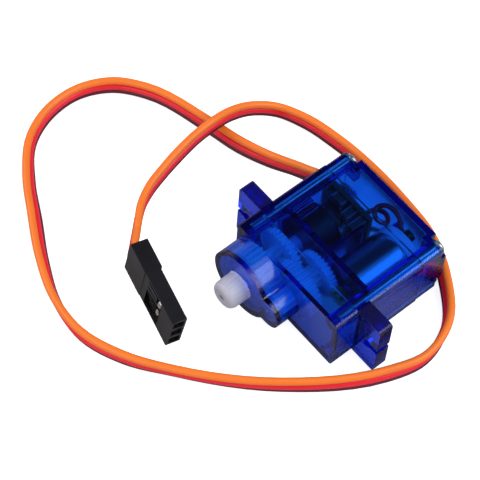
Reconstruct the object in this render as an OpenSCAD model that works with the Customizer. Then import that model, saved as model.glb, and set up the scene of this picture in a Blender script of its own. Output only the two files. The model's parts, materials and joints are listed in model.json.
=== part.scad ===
// Nine gram class hobby servo motor, lying on its wide side beside its
// three-wire lead. The case, gear train, motor, feedback potentiometer and
// control board are drawn standing upright, with z along the output shaft
// and z = 0 on the bottom cover, and are then laid down.

/* [Case] */
// Width of the case, which is also the diameter of the large boss
case_w = 11.8; // [11.4:0.1:13]
// Thickness of the two wide walls
side_wall = 0.9; // [0.7:0.05:1.1]
// Thickness of the two end walls
end_wall = 1.1; // [0.9:0.05:1.3]
// Thickness of the bottom cover's floor
floor_t = 1; // [0.8:0.1:1.3]
// Thickness of the gearbox ceiling
ceiling_t = 0.9; // [0.7:0.05:1.1]
// Thickness of the deck between the motor and the gears
deck_t = 1; // [0.8:0.1:1.2]
// Thickness of the partition beside the motor
partition_t = 0.6; // [0.4:0.05:0.8]
// Height of the bottom cover
bottom_cover_h = 5.1; // [4.6:0.1:5.6]
// Height of the top cover, without its bosses
top_cover_h = 4.3; // [3.9:0.1:4.7]
// Radius of the case's long edges
edge_r = 0.6; // [0.3:0.1:1]
// Step from the middle case down to the bottom cover
cover_step = 0.1; // [0.05:0.01:0.15]

/* [Mounting ears] */
// Reach of each ear beyond the end wall
ear_len = 4.75; // [4.2:0.05:6]
// Thickness of the ears
ear_t = 2.5; // [2:0.1:3]
// Distance of each screw hole from the end wall
ear_hole_reach = 2.35; // [2:0.05:2.7]
// Diameter of the screw holes
ear_hole_d = 2; // [1.6:0.1:2.4]
// Width of the slit from each hole to the ear's end
ear_slit_w = 1; // [0.6:0.1:1.2]

/* [Bosses] */
// Wall of the two bosses on the gearbox
boss_wall = 0.8; // [0.6:0.05:1]
// Thickness of the bosses' end wall
boss_cap_t = 1; // [0.8:0.1:1.2]
// Fillet where the two bosses meet
boss_blend_r = 0.6; // [0.2:0.1:1]

/* [Output shaft] */
// Diameter over the spline teeth
spline_d = 4.8; // [4.4:0.1:5.4]
// Depth of the spline teeth
spline_depth = 0.06; // [0.03:0.01:0.2]
// Number of spline teeth
spline_teeth = 21; // [15:1:25]
// Reach of the shaft beyond the boss
spline_len = 3.6; // [2.8:0.1:5]
// Radius of the shaft's rounded end
spline_tip_r = 0.9; // [0.3:0.1:1.2]
// Step from the spline up to the journal in the boss
journal_step = 0.1; // [0.1:0.05:0.4]
// Diameter of the hole for the horn's screw
horn_hole_d = 1.3; // [1.1:0.1:1.8]
// Depth of the hole for the horn's screw
horn_hole_depth = 5; // [3:0.1:5.6]

/* [Gears] */
// Teeth on each of the three slow pinions
pinion_z = 10; // [9:1:11]
// Teeth on each slow wheel
wheel_z = 30; // [27:1:33]
// Teeth on the motor's pinion
motor_z = 9; // [9:1:11]
// Teeth on the wheel that the motor drives
first_z = 31; // [28:1:34]
// Module of the motor's gear pair
motor_m = 0.25; // [0.22:0.005:0.27]
// Thickness taken off each tooth for backlash
backlash = 0.05; // [0.03:0.01:0.08]
// Thickness of the first wheel
first_wheel_t = 1.2; // [1:0.1:1.4]
// Thickness of the second wheel
second_wheel_t = 1.1; // [0.9:0.1:1.3]
// Thickness of the third wheel
third_wheel_t = 1.9; // [1.6:0.1:2.2]
// Thickness of the output wheel
output_wheel_t = 3.2; // [2.8:0.1:3.6]
// Diameter of the steel pin under the small boss
idler_pin_d = 1; // [0.8:0.05:1.2]
// Wall of the gears' hubs
hub_wall = 0.5; // [0.4:0.05:0.7]

/* [Clearances] */
// Radial clearance of everything that turns
run_gap = 0.05; // [0.02:0.01:0.08]
// Clearance between faces that turn past each other
face_gap = 0.2; // [0.1:0.05:0.25]
// Radial clearance of pieces that are pressed together
fit_gap = 0.02; // [0.01:0.01:0.04]
// Clearance of the slow wheels to the wide walls
wheel_gap = 0.35; // [0.2:0.05:0.5]
// Clearance of the slow wheels to the shaft-end wall
wheel_end_gap = 0.15; // [0.1:0.05:0.3]
// Clearance of the last pinion in the small boss
pinion_gap = 0.16; // [0.1:0.02:0.3]
// Clearance of the motor to the wide walls
motor_gap = 0.4; // [0.3:0.05:0.6]
// Clearance of the motor to the motor-end wall
motor_end_gap = 0.2; // [0.1:0.05:0.4]
// Clearance of the potentiometer to the wide walls
pot_gap = 0.8; // [0.6:0.05:1]
// Clearance of the board to the wide walls
board_gap = 0.4; // [0.2:0.05:0.6]

/* [Screws] */
// Shank diameter of the four case screws
screw_d = 1.4; // [1.2:0.1:1.6]
// Reach of the screws into the top cover
screw_bite = 2.4; // [2:0.1:2.8]
// Head diameter of the case screws
screw_head_d = 2.5; // [2.2:0.1:2.8]
// Head height of the case screws
screw_head_h = 0.9; // [0.7:0.1:1.1]
// Distance of the screws from the outer faces
screw_inset = 1.5; // [1.4:0.05:1.65]
// Diameter of the posts that the screws run in
post_d = 2.5; // [2.3:0.1:2.8]

/* [Motor] */
// Length of the motor can
can_len = 8.8; // [8:0.1:9.8]
// Thickness of the can's steel
can_wall = 0.4; // [0.3:0.05:0.5]
// Height of the end cap below the can
end_cap_h = 1.9; // [1.6:0.1:2.2]
// Height of the ribs that the end cap rests on
rest_h = 2.4; // [2.1:0.1:2.8]
// Thickness of the magnets
magnet_t = 0.95; // [0.8:0.05:1.1]
// Gap between the armature and the magnets
air_gap = 0.15; // [0.1:0.01:0.25]
// Diameter of the motor shaft
motor_shaft_d = 0.8; // [0.7:0.05:0.95]
// Diameter of the two bearing bushes
bush_d = 2; // [1.8:0.1:2.3]
// Diameter of the commutator
commutator_d = 1.7; // [1.5:0.1:1.9]

/* [Potentiometer] */
// Height of the potentiometer's housing
pot_h = 4.3; // [3.8:0.1:4.8]
// Wall of the potentiometer's housing
pot_wall = 0.7; // [0.5:0.05:0.8]
// Diameter of the potentiometer's shaft
pot_shaft_d = 1.5; // [1.3:0.05:1.7]

/* [Control board] */
// Thickness of the board
board_t = 0.8; // [0.6:0.1:1]

/* [Lead] */
// Diameter of one of the lead's three wires
wire_d = 1.25; // [1.1:0.05:1.4]
// Clearance round the lead in the slot of the bottom cover
slot_gap = 0.07; // [0.03:0.01:0.1]
// Diameter of the wires between the board and the motor
thin_wire_d = 0.8; // [0.6:0.05:0.9]

/* [Connector] */
// Length of the connector's housing
plug_len = 14.4; // [13:0.1:17]
// Distance from contact to contact
pitch = 2.54; // [2.5:0.01:2.8]
// Side of the three square bays
bay = 1.8; // [1.6:0.1:2]
// Wall of the housing beside the row of bays
plug_end_wall = 0.4; // [0.3:0.05:0.6]
// Wall of the housing along the row of bays
plug_side_wall = 0.35; // [0.25:0.05:0.5]
// Length of the thicker block at the wires
plug_block_len = 5.2; // [4:0.1:6]
// Step up to the block on the side away from the windows
plug_step = 0.3; // [0.2:0.05:0.5]
// Width of the flexible tongue in each window
latch_w = 0.9; // [0.8:0.05:1.2]

/* [Hidden] */
$fn = 48;
eps = 0.01;

// Tooth form: pressure angle, heights in modules, and profile shifts
pressure = 20;
addendum = 0.9;
dedendum = 1.15;
pinion_shift = 0.4;
motor_shift = 0.45;

// Widths, radii and axes. The case comes out 22.8 long.
inner_w = case_w - 2 * side_wall;
wheel_r = inner_w / 2 - wheel_gap;
gear_m = wheel_r / (wheel_z / 2 + addendum - pinion_shift);
pinion_r = gear_m * (pinion_z / 2 + addendum + pinion_shift);
slow_centres = gear_m * (pinion_z + wheel_z) / 2;
fast_centres = motor_m * (motor_z + first_z) / 2;
boss_r = case_w / 2;
small_boss_r = pinion_r + pinion_gap + boss_wall;
can_d = inner_w - 2 * motor_gap;
shaft_inset = end_wall + wheel_end_gap + wheel_r;
case_len = shaft_inset + slow_centres + fast_centres + can_d / 2 + motor_end_gap + end_wall;
output_x = shaft_inset - case_len / 2;
idler_x = output_x + slow_centres;
motor_x = idler_x + fast_centres;
screw_x = case_len / 2 - screw_inset;
screw_y = case_w / 2 - screw_inset;
ears_len = case_len + 2 * ear_len;
ear_hole_x = case_len / 2 + ear_hole_reach;
journal_d = spline_d + 2 * journal_step;
second_hub_d = pot_shaft_d + 2 * (run_gap + hub_wall);
idler_hub_d = idler_pin_d + 2 * (run_gap + hub_wall);

// Levels, from the bottom cover's outer face up. The case comes out 22.5 high.
cap_bottom = floor_t + rest_h;
can_bottom = cap_bottom + end_cap_h;
can_top = can_bottom + can_len;
deck_z = can_top + deck_t;
first_wheel_z = deck_z + 0.5;
second_wheel_z = first_wheel_z + first_wheel_t + 1;
third_wheel_z = second_wheel_z + second_wheel_t + 2 * face_gap;
ceiling_z = third_wheel_z + third_wheel_t + 2 * face_gap;
case_h = ceiling_z + ceiling_t;
part_z = case_h - top_cover_h;
output_wheel_z = ceiling_z + face_gap;
output_wheel_top = output_wheel_z + output_wheel_t;
cap_z = output_wheel_top + 0.7;
boss_top_z = cap_z + boss_cap_t;
shaft_tip_z = boss_top_z + spline_len;
output_hub_z = output_wheel_z - 0.3;
first_pinion_top = third_wheel_z - face_gap;
second_pinion_top = output_hub_z - face_gap;
third_pinion_top = output_wheel_top - 0.1;
pin_top = cap_z + boss_cap_t / 2;

// Screws
head_z = 0.1;
notch_depth = head_z + screw_head_h;
notch_w = screw_inset + screw_head_d / 2 + 0.15;
notch = [notch_w, notch_w, notch_depth];
screw_tip_z = part_z + screw_bite;

// Motor
pinion_over = 0.2;
bush_h = 2;
bush_low_z = cap_bottom + 0.6;
cap_plug_h = 0.8;
rest_x = can_d / 2 - 1.5;
rest_t = 0.8;
magnet_z = can_bottom + 2.2;
magnet_h = can_top - can_wall - 0.4 - magnet_z;
magnet_outer_d = can_d - 2 * can_wall - 2 * fit_gap;
magnet_inner_d = magnet_outer_d - 2 * magnet_t;
magnet_split = bush_d + 0.4;
armature_d = magnet_inner_d - 2 * air_gap;
armature_z = magnet_z + 1;
armature_h = magnet_h - 2;
armature_hub_d = motor_shaft_d + 1.4;
pole_t = 0.4;
spoke_w = 0.9;
coil_w = armature_hub_d;
coil_over = 0.5;
commutator_z = can_bottom + 1.1;
commutator_h = 1.4;
brush_w = 0.8;
brush_h = 0.8;
brush_reach = commutator_d / 2 + 0.85;
strip_t = 0.3;
terminal_y = can_d / 2 - 1.2;
terminal_w = 1.2;
terminal_bottom = cap_bottom - 0.9;
sleeve_d = terminal_w + 0.8;

// Potentiometer and board
pot_d = inner_w - 2 * pot_gap;
pot_bottom = can_top - pot_h;
pot_skin = 0.8;
pot_flat = pot_shaft_d / 3;
pot_flat_top = output_wheel_z + 1.8;
pot_pin_x = output_x + pot_d / 2 - 1.3;
pot_pin_pitch = (pot_d - 2.4) / 3;
pot_pin_w = 0.5;
pot_pin_t = 0.3;
board_z = bottom_cover_h + 0.2;
board_top = board_z + board_t;
board_left = end_wall - case_len / 2 + 0.1;
board_right = motor_x - can_d / 2 - 0.7;
board_len = board_right - board_left;
board_w = inner_w - 2 * board_gap;
board_x = (board_left + board_right) / 2;
chip_size = [3.2, 4, 1];
chip_x = board_x - 1.2;

// Upright ribs under the deck, on both wide walls beside the potentiometer
rib_t = 0.6;
rib_depth = 0.7;
rib_h = 3.6;
rib_x = output_x - 2.5;
rib_pitch = 1.25;

// Lead: points of the ribbon's middle line, lying as in use, in the
// laid-down frame: x, y, z. The first ones run out through the slot.
wire_z = bottom_cover_h - slot_gap - wire_d / 2;
tail_x = board_left + 1.7;
exit_y = shaft_tip_z / 2 - wire_z;
exit_z = case_w / 2;
ribbon_path = [
    [tail_x, exit_y, exit_z], [-10.4, exit_y, exit_z], [-12.2, exit_y, exit_z],
    [-14.4, 10.1, 5.2], [-17.6, 9.5, 3.8], [-21.6, 8.4, 2.3], [-27, 6.6, 1.9],
    [-33, 5.2, 1.9], [-44.5, 1.2, 1.9], [-48.6, -2.2, 1.9], [-51, -7.5, 1.9],
    [-50.8, -13.4, 1.9], [-48, -19, 1.9], [-43, -23.8, 1.9], [-36.6, -27.7, 1.9],
    [-29.8, -31.3, 1.9], [-22.6, -33.9, 1.9], [-15.4, -34.2, 1.9], [-8.4, -31.8, 1.9],
    [-1.6, -27.2, 1.9], [10, -16, 1.9], [18.4, -2.4, 1.9], [20.2, 4, 1.9],
    [18, 10.6, 1.9], [12.4, 15.7, 1.9], [5.4, 18.9, 1.9], [-2.2, 20.2, 1.9],
    [-10.2, 20.1, 1.9], [-17.6, 19.2, 1.9], [-24.2, 17.7, 1.95], [-27.9, 15.5, 2.4],
    [-30, 12, 3.7], [-30.7, 7.5, 5.3], [-30.4, 3.9, 6.2], [-30.2, 0.3, 6.4],
    [-29.4, -4, 6.2], [-28.5, -8, 5.9], [-27.4, -11.6, 5.6], [-25.7, -14.6, 5.5],
    [-23.1, -17.5, 5.5]
];

// Wires from the board to the motor, in the upright frame. They stay by
// one wide wall and above the floor.
by_wall = inner_w / 2 - 0.6;
low = floor_t + 0.8;
solder_x = board_right - 2.1;
sleeve_x = motor_x - sleeve_d / 2 - 0.1;
sleeve_z = cap_bottom - 0.6;
red_path = [
    [solder_x, 2.4, board_z], [solder_x, 2.4, board_z - 0.6], [-1.7, by_wall - 1.7, low + 1.8],
    [-1, by_wall - 1.5, low + 1], [0.1, by_wall - 1.3, low + 0.7], [1.1, by_wall - 1.1, low + 1.1],
    [1.7, by_wall - 0.9, low + 1.9], [1.1, by_wall - 0.7, low + 2.6], [0.2, by_wall - 0.5, low + 2.8],
    [-0.7, by_wall - 0.3, low + 2.3], [-1, by_wall - 0.1, low + 1.4], [-0.5, by_wall, low + 0.5],
    [0.4, by_wall, low], [1.6, by_wall - 0.1, low - 0.1], [2.8, by_wall - 0.4, low + 0.2],
    [3.6, by_wall - 0.7, low + 0.8], [sleeve_x, terminal_y, sleeve_z]
];
black_path = [
    [solder_x, -2.4, board_z], [solder_x, -2.4, board_z - 0.6], [-1.4, 1.6 - by_wall, low + 1.4],
    [-0.2, 1 - by_wall, low + 0.4], [1.4, 0.6 - by_wall, low], [2.8, 0.6 - by_wall, low + 0.3],
    [3.6, 0.8 - by_wall, low + 0.8], [sleeve_x, -terminal_y, sleeve_z]
];

// Connector. It rests on the corner at its openings, and the lead holds
// its other end up, so it is turned about all three axes.
plug_h = 2 * pitch + bay + 2 * plug_end_wall;
plug_t = bay + 2 * plug_side_wall;
plug_lean = 5.3;
plug_nod = 6.3;
plug_turn = -12.8;
plug_rise = plug_len * sin(plug_nod)
    + (plug_t * sin(plug_lean) + plug_h * cos(plug_lean)) * cos(plug_nod) / 2;
plug_at = [-19.9, -20.3, plug_rise + 0.02];
plug_axis = [cos(plug_turn) * cos(plug_nod), sin(plug_turn) * cos(plug_nod), -sin(plug_nod)];
plug_up = [
    cos(plug_turn) * sin(plug_nod) * cos(plug_lean) - sin(plug_turn) * sin(plug_lean),
    sin(plug_turn) * sin(plug_nod) * cos(plug_lean) + cos(plug_turn) * sin(plug_lean),
    cos(plug_nod) * cos(plug_lean)
];
contact_start = 1.2;
contact_end = plug_len - 1.4;
contact_box_len = 3;
window_start = plug_block_len + 1.4;
window_end = plug_len - 3.5;
latch_len = 2.8;

// Involute gear outlines. A gear is [module, teeth, profile shift].
slow_wheel = [gear_m, wheel_z, -pinion_shift];
slow_pinion = [gear_m, pinion_z, pinion_shift];
fast_wheel = [motor_m, first_z, -motor_shift];
fast_pinion = [motor_m, motor_z, motor_shift];

function polar(r, a) = [r * cos(a), r * sin(a)];
function involute(a) = tan(a) * 180 / PI - a;
function base_r(g) = g[0] * g[1] / 2 * cos(pressure);
function root_r(g) = g[0] * (g[1] / 2 - dedendum + g[2]);
function tip_r(g) = g[0] * (g[1] / 2 + addendum + g[2]);
function half_tooth(g, r) =
    (90 + 2 * g[2] * tan(pressure) * 180 / PI) / g[1] - backlash / (g[0] * g[1]) * 180 / PI
    + involute(pressure) - involute(acos(min(1, base_r(g) / r)));
function flank(g, steps) =
    let (low = max(base_r(g), root_r(g)), high = tip_r(g))
    concat([[root_r(g), half_tooth(g, low)]],
        [for (i = [0:steps]) let (r = low + (high - low) * i / steps) [r, half_tooth(g, r)]]);
function gear_points(g, steps) =
    let (side = flank(g, steps), n = len(side))
    [for (k = [0:g[1] - 1], i = [0:2 * n - 1])
        i < n ? polar(side[i][0], k * 360 / g[1] - side[i][1])
              : polar(side[2 * n - 1 - i][0], k * 360 / g[1] + side[2 * n - 1 - i][1])];

// Swept tubes. The section's second axis stays towards the up direction.
// The smooth function draws a curve through the points that it is given.
function unit(v) = v / norm(v);
function along(p, i) = unit(p[min(i + 1, len(p) - 1)] - p[max(i - 1, 0)]);
function tube_points(p, up, shape) =
    [for (i = [0:len(p) - 1])
        let (t = along(p, i), side = unit(cross(t, up)), top = cross(side, t))
        for (q = shape) p[i] + q[0] * side + q[1] * top];
function tube_faces(rings, sides) = concat(
    [[for (j = [0:sides - 1]) j]],
    [for (i = [0:rings - 2], j = [0:sides - 1])
        let (k = (j + 1) % sides, a = i * sides, b = a + sides)
        each [[a + j, b + j, b + k], [a + j, b + k, a + k]]],
    [[for (j = [sides - 1:-1:0]) (rings - 1) * sides + j]]);
function between(a, b, c, d, t) =
    (2 * b + (c - a) * t + (2 * a - 5 * b + 4 * c - d) * t * t + (3 * b - a - 3 * c + d) * t * t * t) / 2;
function before(p, i) = i > 0 ? p[i - 1] : 2 * p[0] - p[1];
function after(p, i) = i < len(p) - 1 ? p[i + 1] : 2 * p[i] - p[i - 1];
function smooth(p, steps) = [
    for (i = [0:len(p) - 2], k = [0:steps - 1])
        between(before(p, i), p[i], p[i + 1], after(p, i + 1), k / steps),
    p[len(p) - 1]
];
function round_shape(d) = [for (j = [0:7]) polar(d / 2, (j + 0.5) * 45)];
function ribbon_shape(d) =
    let (w = d / 2, h = 3 * w, c = 0.4 * d)
    [[w, c - h], [w, h - c], [w - c, h], [c - w, h], [-w, h - c], [-w, c - h], [c - w, -h], [w - c, -h]];

module tube(path, up, shape) {
    faces = tube_faces(len(path), len(shape));
    polyhedron(points = tube_points(path, up, shape), faces = faces, convexity = 8);
}

module at(x, y, z) {
    translate([x, y, z])
        children();
}

module rod(d, bottom, top) {
    at(0, 0, bottom)
        cylinder(d = d, h = top - bottom);
}

module gear(g, turn, bottom, top, steps = 2) {
    at(0, 0, bottom)
        rotate(turn)
            linear_extrude(top - bottom)
                polygon(gear_points(g, steps));
}

module corners(x, y) {
    for (side_x = [-1, 1], side_y = [-1, 1])
        translate([side_x * x, side_y * y])
            children();
}

module posts(d, bottom, top) {
    corners(screw_x, screw_y)
        rod(d, bottom, top);
}

// Turns the upright model onto its wide side, centred over the origin.
module lay_down() {
    translate([0, shaft_tip_z / 2, case_w / 2])
        rotate([90, 0, 0])
            children();
}

module rounded_rect(l, w) {
    square([l - 2 * edge_r, w], center = true);
    square([l, w - 2 * edge_r], center = true);
    corners(l / 2 - edge_r, w / 2 - edge_r)
        circle(edge_r);
}

module shell_space(bottom, top) {
    difference() {
        at(0, 0, (bottom + top) / 2)
            cube([case_len - 2 * end_wall, inner_w, top - bottom], center = true);
        posts(post_d, bottom - 1, top + 1);
    }
}

// The two bosses in plan, with a fillet circle in each notch between them.
module boss_outline() {
    far = boss_r + boss_blend_r;
    near = small_boss_r + boss_blend_r;
    blend_x = (slow_centres * slow_centres + far * far - near * near) / (2 * slow_centres);
    blend_y = sqrt(far * far - blend_x * blend_x);
    translate([output_x, 0]) {
        circle(boss_r);
        translate([slow_centres, 0])
            circle(small_boss_r);
        difference() {
            polygon([[0, 0], [blend_x, -blend_y], [slow_centres, 0], [blend_x, blend_y]]);
            for (side = [-1, 1])
                translate([blend_x, side * blend_y])
                    circle(boss_blend_r);
        }
    }
}

module top_cover() {
    color([0.1, 0.2, 0.8, 0.5])
        lay_down()
            difference() {
                union() {
                    at(0, 0, part_z)
                        linear_extrude(top_cover_h)
                            rounded_rect(case_len, case_w);
                    at(0, 0, ceiling_z)
                        linear_extrude(boss_top_z - ceiling_z)
                            boss_outline();
                }
                shell_space(part_z - eps, ceiling_z);
                posts(screw_d + 2 * fit_gap, part_z - eps, screw_tip_z + 0.3);
                at(output_x, 0, 0) {
                    rod(2 * (boss_r - boss_wall), part_z - eps, cap_z);
                    rod(journal_d + 2 * run_gap, part_z, boss_top_z + eps);
                }
                at(idler_x, 0, 0) {
                    rod(2 * (small_boss_r - boss_wall), part_z - eps, cap_z);
                    rod(idler_pin_d + 2 * fit_gap, part_z, pin_top);
                }
            }
}

module middle_case() {
    partition_x = motor_x - can_d / 2 - 0.2 - partition_t;
    color([0.1, 0.2, 0.8, 0.5])
        lay_down()
            difference() {
                union() {
                    difference() {
                        union() {
                            at(0, 0, bottom_cover_h)
                                linear_extrude(part_z - bottom_cover_h)
                                    rounded_rect(case_len, case_w);
                            at(0, 0, part_z - ear_t)
                                linear_extrude(ear_t)
                                    rounded_rect(ears_len, case_w);
                        }
                        shell_space(bottom_cover_h - eps, can_top);
                        shell_space(deck_z, part_z + eps);
                    }
                    at(partition_x, -inner_w / 2 - eps, board_top + 1.4)
                        cube([partition_t, inner_w + 2 * eps, can_top - board_top - 1.4 + eps]);
                    for (side = [-1, 1], k = [0, 1])
                        at(rib_x + k * rib_pitch, side * (inner_w - rib_depth) / 2, can_top - rib_h / 2)
                            cube([rib_t, rib_depth + 2 * eps, rib_h + 2 * eps], center = true);
                }
                posts(screw_d + 2 * run_gap, 0, case_h);
                at(output_x, 0, 0)
                    rod(second_hub_d + 2 * run_gap, can_top - eps, deck_z + eps);
                at(idler_x, 0, 0)
                    rod(idler_pin_d + 2 * fit_gap, can_top - eps, deck_z + eps);
                at(motor_x, 0, 0)
                    rod(bush_d + 2 * run_gap, can_top - eps, deck_z + eps);
                for (side = [-1, 1]) {
                    at(side * ear_hole_x, 0, 0)
                        rod(ear_hole_d, part_z - ear_t - eps, part_z + eps);
                    at(side * (ear_hole_x + ear_len / 2), 0, part_z - ear_t / 2)
                        cube([ear_len, ear_slit_w, ear_t + 2 * eps], center = true);
                }
            }
}

module bottom_cover() {
    lead_slot = [3 * end_wall, 3 * wire_d + 2 * slot_gap, 2 * wire_d + 4 * slot_gap];
    color([0.1, 0.2, 0.8, 0.5])
        lay_down()
            difference() {
                linear_extrude(bottom_cover_h)
                    rounded_rect(case_len - 2 * cover_step, case_w - 2 * cover_step);
                difference() {
                    shell_space(floor_t, bottom_cover_h + eps);
                    corners(case_len / 2, case_w / 2)
                        cube(2 * (notch + floor_t * [1, 1, 1]), center = true);
                    for (side = [-1, 1])
                        at(motor_x + side * rest_x, 0, cap_bottom / 2)
                            cube([rest_t, can_d / 2, cap_bottom], center = true);
                }
                corners(case_len / 2, case_w / 2)
                    cube(2 * notch, center = true);
                posts(screw_d + 2 * run_gap, 0, bottom_cover_h + eps);
                at(-case_len / 2, 0, bottom_cover_h)
                    cube(lead_slot, center = true);
            }
}

module case_screws() {
    color("silver")
        lay_down()
            difference() {
                union() {
                    posts(screw_head_d, head_z, notch_depth);
                    posts(screw_d, head_z, screw_tip_z);
                }
                corners(screw_x, screw_y)
                    for (turn = [45, 135])
                        rotate(turn)
                            at(0, 0, head_z)
                                cube([0.6 * screw_head_d, 0.35, screw_head_h], center = true);
            }
}

module idler_pin() {
    color("silver")
        lay_down()
            at(idler_x, 0, 0)
                rod(idler_pin_d, can_top, pin_top - 0.1);
}

module spline_outline() {
    step = 360 / spline_teeth;
    tip = spline_d / 2;
    root = tip - spline_depth;
    polygon([for (k = [0:spline_teeth - 1]) each [
        polar(tip, (k - 0.2) * step), polar(tip, (k + 0.2) * step),
        polar(root, (k + 0.4) * step), polar(root, (k + 0.6) * step)
    ]]);
}

// The shaft's end above the spline: a disc with a rounded rim.
module shaft_end() {
    r = spline_d / 2 - spline_depth;
    at(0, 0, shaft_tip_z - spline_tip_r)
        rotate_extrude() {
            square([r - spline_tip_r, spline_tip_r]);
            intersection() {
                translate([r - spline_tip_r, 0])
                    circle(spline_tip_r);
                square([r, spline_tip_r]);
            }
        }
}

module output_gear() {
    socket_d = pot_shaft_d + 2 * fit_gap;
    spline_z = boss_top_z - 0.1;
    color("white")
        lay_down()
            at(output_x, 0, 0)
                difference() {
                    union() {
                        rod(socket_d + 2.4, output_hub_z, output_wheel_z + eps);
                        gear(slow_wheel, 180 / wheel_z, output_wheel_z, output_wheel_top);
                        rod(journal_d + 1.4, output_wheel_top - eps, cap_z - 0.1);
                        rod(journal_d, output_wheel_top, spline_z);
                        at(0, 0, spline_z - eps)
                            linear_extrude(shaft_tip_z - spline_tip_r - spline_z + 2 * eps)
                                spline_outline();
                        shaft_end();
                    }
                    rod(horn_hole_d, shaft_tip_z - horn_hole_depth, shaft_tip_z + eps);
                    difference() {
                        rod(socket_d, output_hub_z - eps, pot_flat_top + 0.1);
                        at(pot_flat + fit_gap, -socket_d, output_hub_z - 1)
                            cube([socket_d, 2 * socket_d, pot_flat_top + 2 - output_hub_z]);
                    }
                }
}

module third_gear() {
    color("white")
        lay_down()
            at(idler_x, 0, 0)
                difference() {
                    union() {
                        gear(slow_wheel, 180 + 180 / wheel_z, third_wheel_z, third_wheel_z + third_wheel_t);
                        gear(slow_pinion, 180, third_wheel_z + third_wheel_t - eps, third_pinion_top, 3);
                        rod(idler_hub_d, third_pinion_top - eps, cap_z - face_gap);
                    }
                    rod(idler_pin_d + 2 * run_gap, third_wheel_z - eps, cap_z);
                }
}

module second_gear() {
    color("white")
        lay_down()
            at(output_x, 0, 0)
                difference() {
                    union() {
                        rod(second_hub_d, can_top + face_gap, second_wheel_z + eps);
                        gear(slow_wheel, 180 / wheel_z, second_wheel_z, second_wheel_z + second_wheel_t);
                        gear(slow_pinion, 0, second_wheel_z + second_wheel_t - eps, second_pinion_top, 3);
                    }
                    rod(pot_shaft_d + 2 * run_gap, can_top, second_pinion_top + eps);
                }
}

module first_gear() {
    color("white")
        lay_down()
            at(idler_x, 0, 0)
                difference() {
                    union() {
                        rod(idler_hub_d, deck_z + 0.1, first_wheel_z + eps);
                        gear(fast_wheel, 180 / first_z, first_wheel_z, first_wheel_z + first_wheel_t);
                        gear(slow_pinion, 180, first_wheel_z + first_wheel_t - eps, first_pinion_top, 3);
                    }
                    rod(idler_pin_d + 2 * run_gap, deck_z, first_pinion_top + eps);
                }
}

module motor_pinion() {
    bottom = first_wheel_z - pinion_over;
    top = first_wheel_z + first_wheel_t + pinion_over;
    color("goldenrod")
        lay_down()
            at(motor_x, 0, 0)
                difference() {
                    gear(fast_pinion, 180, bottom, top, 3);
                    rod(motor_shaft_d + 2 * fit_gap, bottom - eps, top + eps);
                }
}

module motor_shaft() {
    color("silver")
        lay_down()
            at(motor_x, 0, 0)
                rod(motor_shaft_d, cap_bottom + 0.4, first_wheel_z + first_wheel_t + 2 * pinion_over);
}

module armature_outline() {
    difference() {
        union() {
            circle(d = armature_hub_d);
            for (turn = [0, 120, 240])
                rotate(turn)
                    translate([0, -spoke_w / 2])
                        square([armature_d / 2 - pole_t / 2, spoke_w]);
            difference() {
                circle(d = armature_d);
                circle(d = armature_d - 2 * pole_t);
                for (turn = [60, 180, 300])
                    rotate(turn)
                        translate([0, -0.5])
                            square([armature_d, 1]);
            }
        }
        circle(d = motor_shaft_d + 2 * fit_gap);
    }
}

module motor_armature() {
    color("dimgray")
        lay_down()
            at(motor_x, 0, armature_z)
                linear_extrude(armature_h)
                    armature_outline();
}

module motor_windings() {
    coil_start = armature_hub_d / 2 + 0.1;
    coil_end = armature_d / 2 - pole_t - 0.3;
    color("chocolate")
        lay_down()
            at(motor_x, 0, armature_z - coil_over)
                for (turn = [0, 120, 240])
                    rotate(turn)
                        difference() {
                            at(coil_start, -coil_w / 2, 0)
                                cube([coil_end - coil_start, coil_w, armature_h + 2 * coil_over]);
                            at(0, -spoke_w / 2 - 0.05, coil_over - 0.05)
                                cube([armature_d, spoke_w + 0.1, armature_h + 0.1]);
                        }
}

module motor_commutator() {
    slot_w = 0.12;
    color("goldenrod")
        lay_down()
            at(motor_x, 0, commutator_z)
                difference() {
                    rod(commutator_d, 0, commutator_h);
                    rod(motor_shaft_d + 2 * fit_gap, -eps, commutator_h + eps);
                    for (turn = [60, 180, 300])
                        rotate(turn)
                            at((motor_shaft_d + commutator_d) / 4, -slot_w / 2, -eps)
                                cube([commutator_d, slot_w, commutator_h + 2 * eps]);
                }
}

module motor_can() {
    color("silver")
        lay_down()
            at(motor_x, 0, 0)
                difference() {
                    rod(can_d, can_bottom, can_top);
                    rod(can_d - 2 * can_wall, can_bottom - eps, can_top - can_wall);
                    rod(bush_d + 2 * fit_gap, can_bottom, can_top + eps);
                }
}

module motor_magnets() {
    color("gray")
        lay_down()
            at(motor_x, 0, magnet_z)
                difference() {
                    rod(magnet_outer_d, 0, magnet_h);
                    rod(magnet_inner_d, -eps, magnet_h + eps);
                    cube([can_d, magnet_split, 3 * magnet_h], center = true);
                }
}

module motor_bushes() {
    color("peru")
        lay_down()
            for (bottom = [can_top - bush_h / 2, bush_low_z])
                at(motor_x, 0, bottom)
                    difference() {
                        rod(bush_d, 0, bush_h);
                        rod(motor_shaft_d + 2 * run_gap, -eps, bush_h + eps);
                    }
}

module motor_end_cap() {
    color("white")
        lay_down()
            at(motor_x, 0, 0)
                difference() {
                    union() {
                        rod(can_d, cap_bottom, can_bottom);
                        rod(magnet_outer_d, cap_bottom, can_bottom + cap_plug_h);
                    }
                    rod(bush_d + 2 * fit_gap, bush_low_z, can_bottom + 2 * cap_plug_h);
                    rod(bush_d + 2.4, can_bottom - 0.2, can_bottom + 2 * cap_plug_h);
                    rod(motor_shaft_d + 2 * run_gap, cap_bottom + 0.3, can_bottom);
                    for (side = [-1, 1])
                        at(0, side * terminal_y, can_bottom)
                            cube([terminal_w + 0.1, strip_t + 0.1, 4 * end_cap_h], center = true);
                }
}

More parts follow.
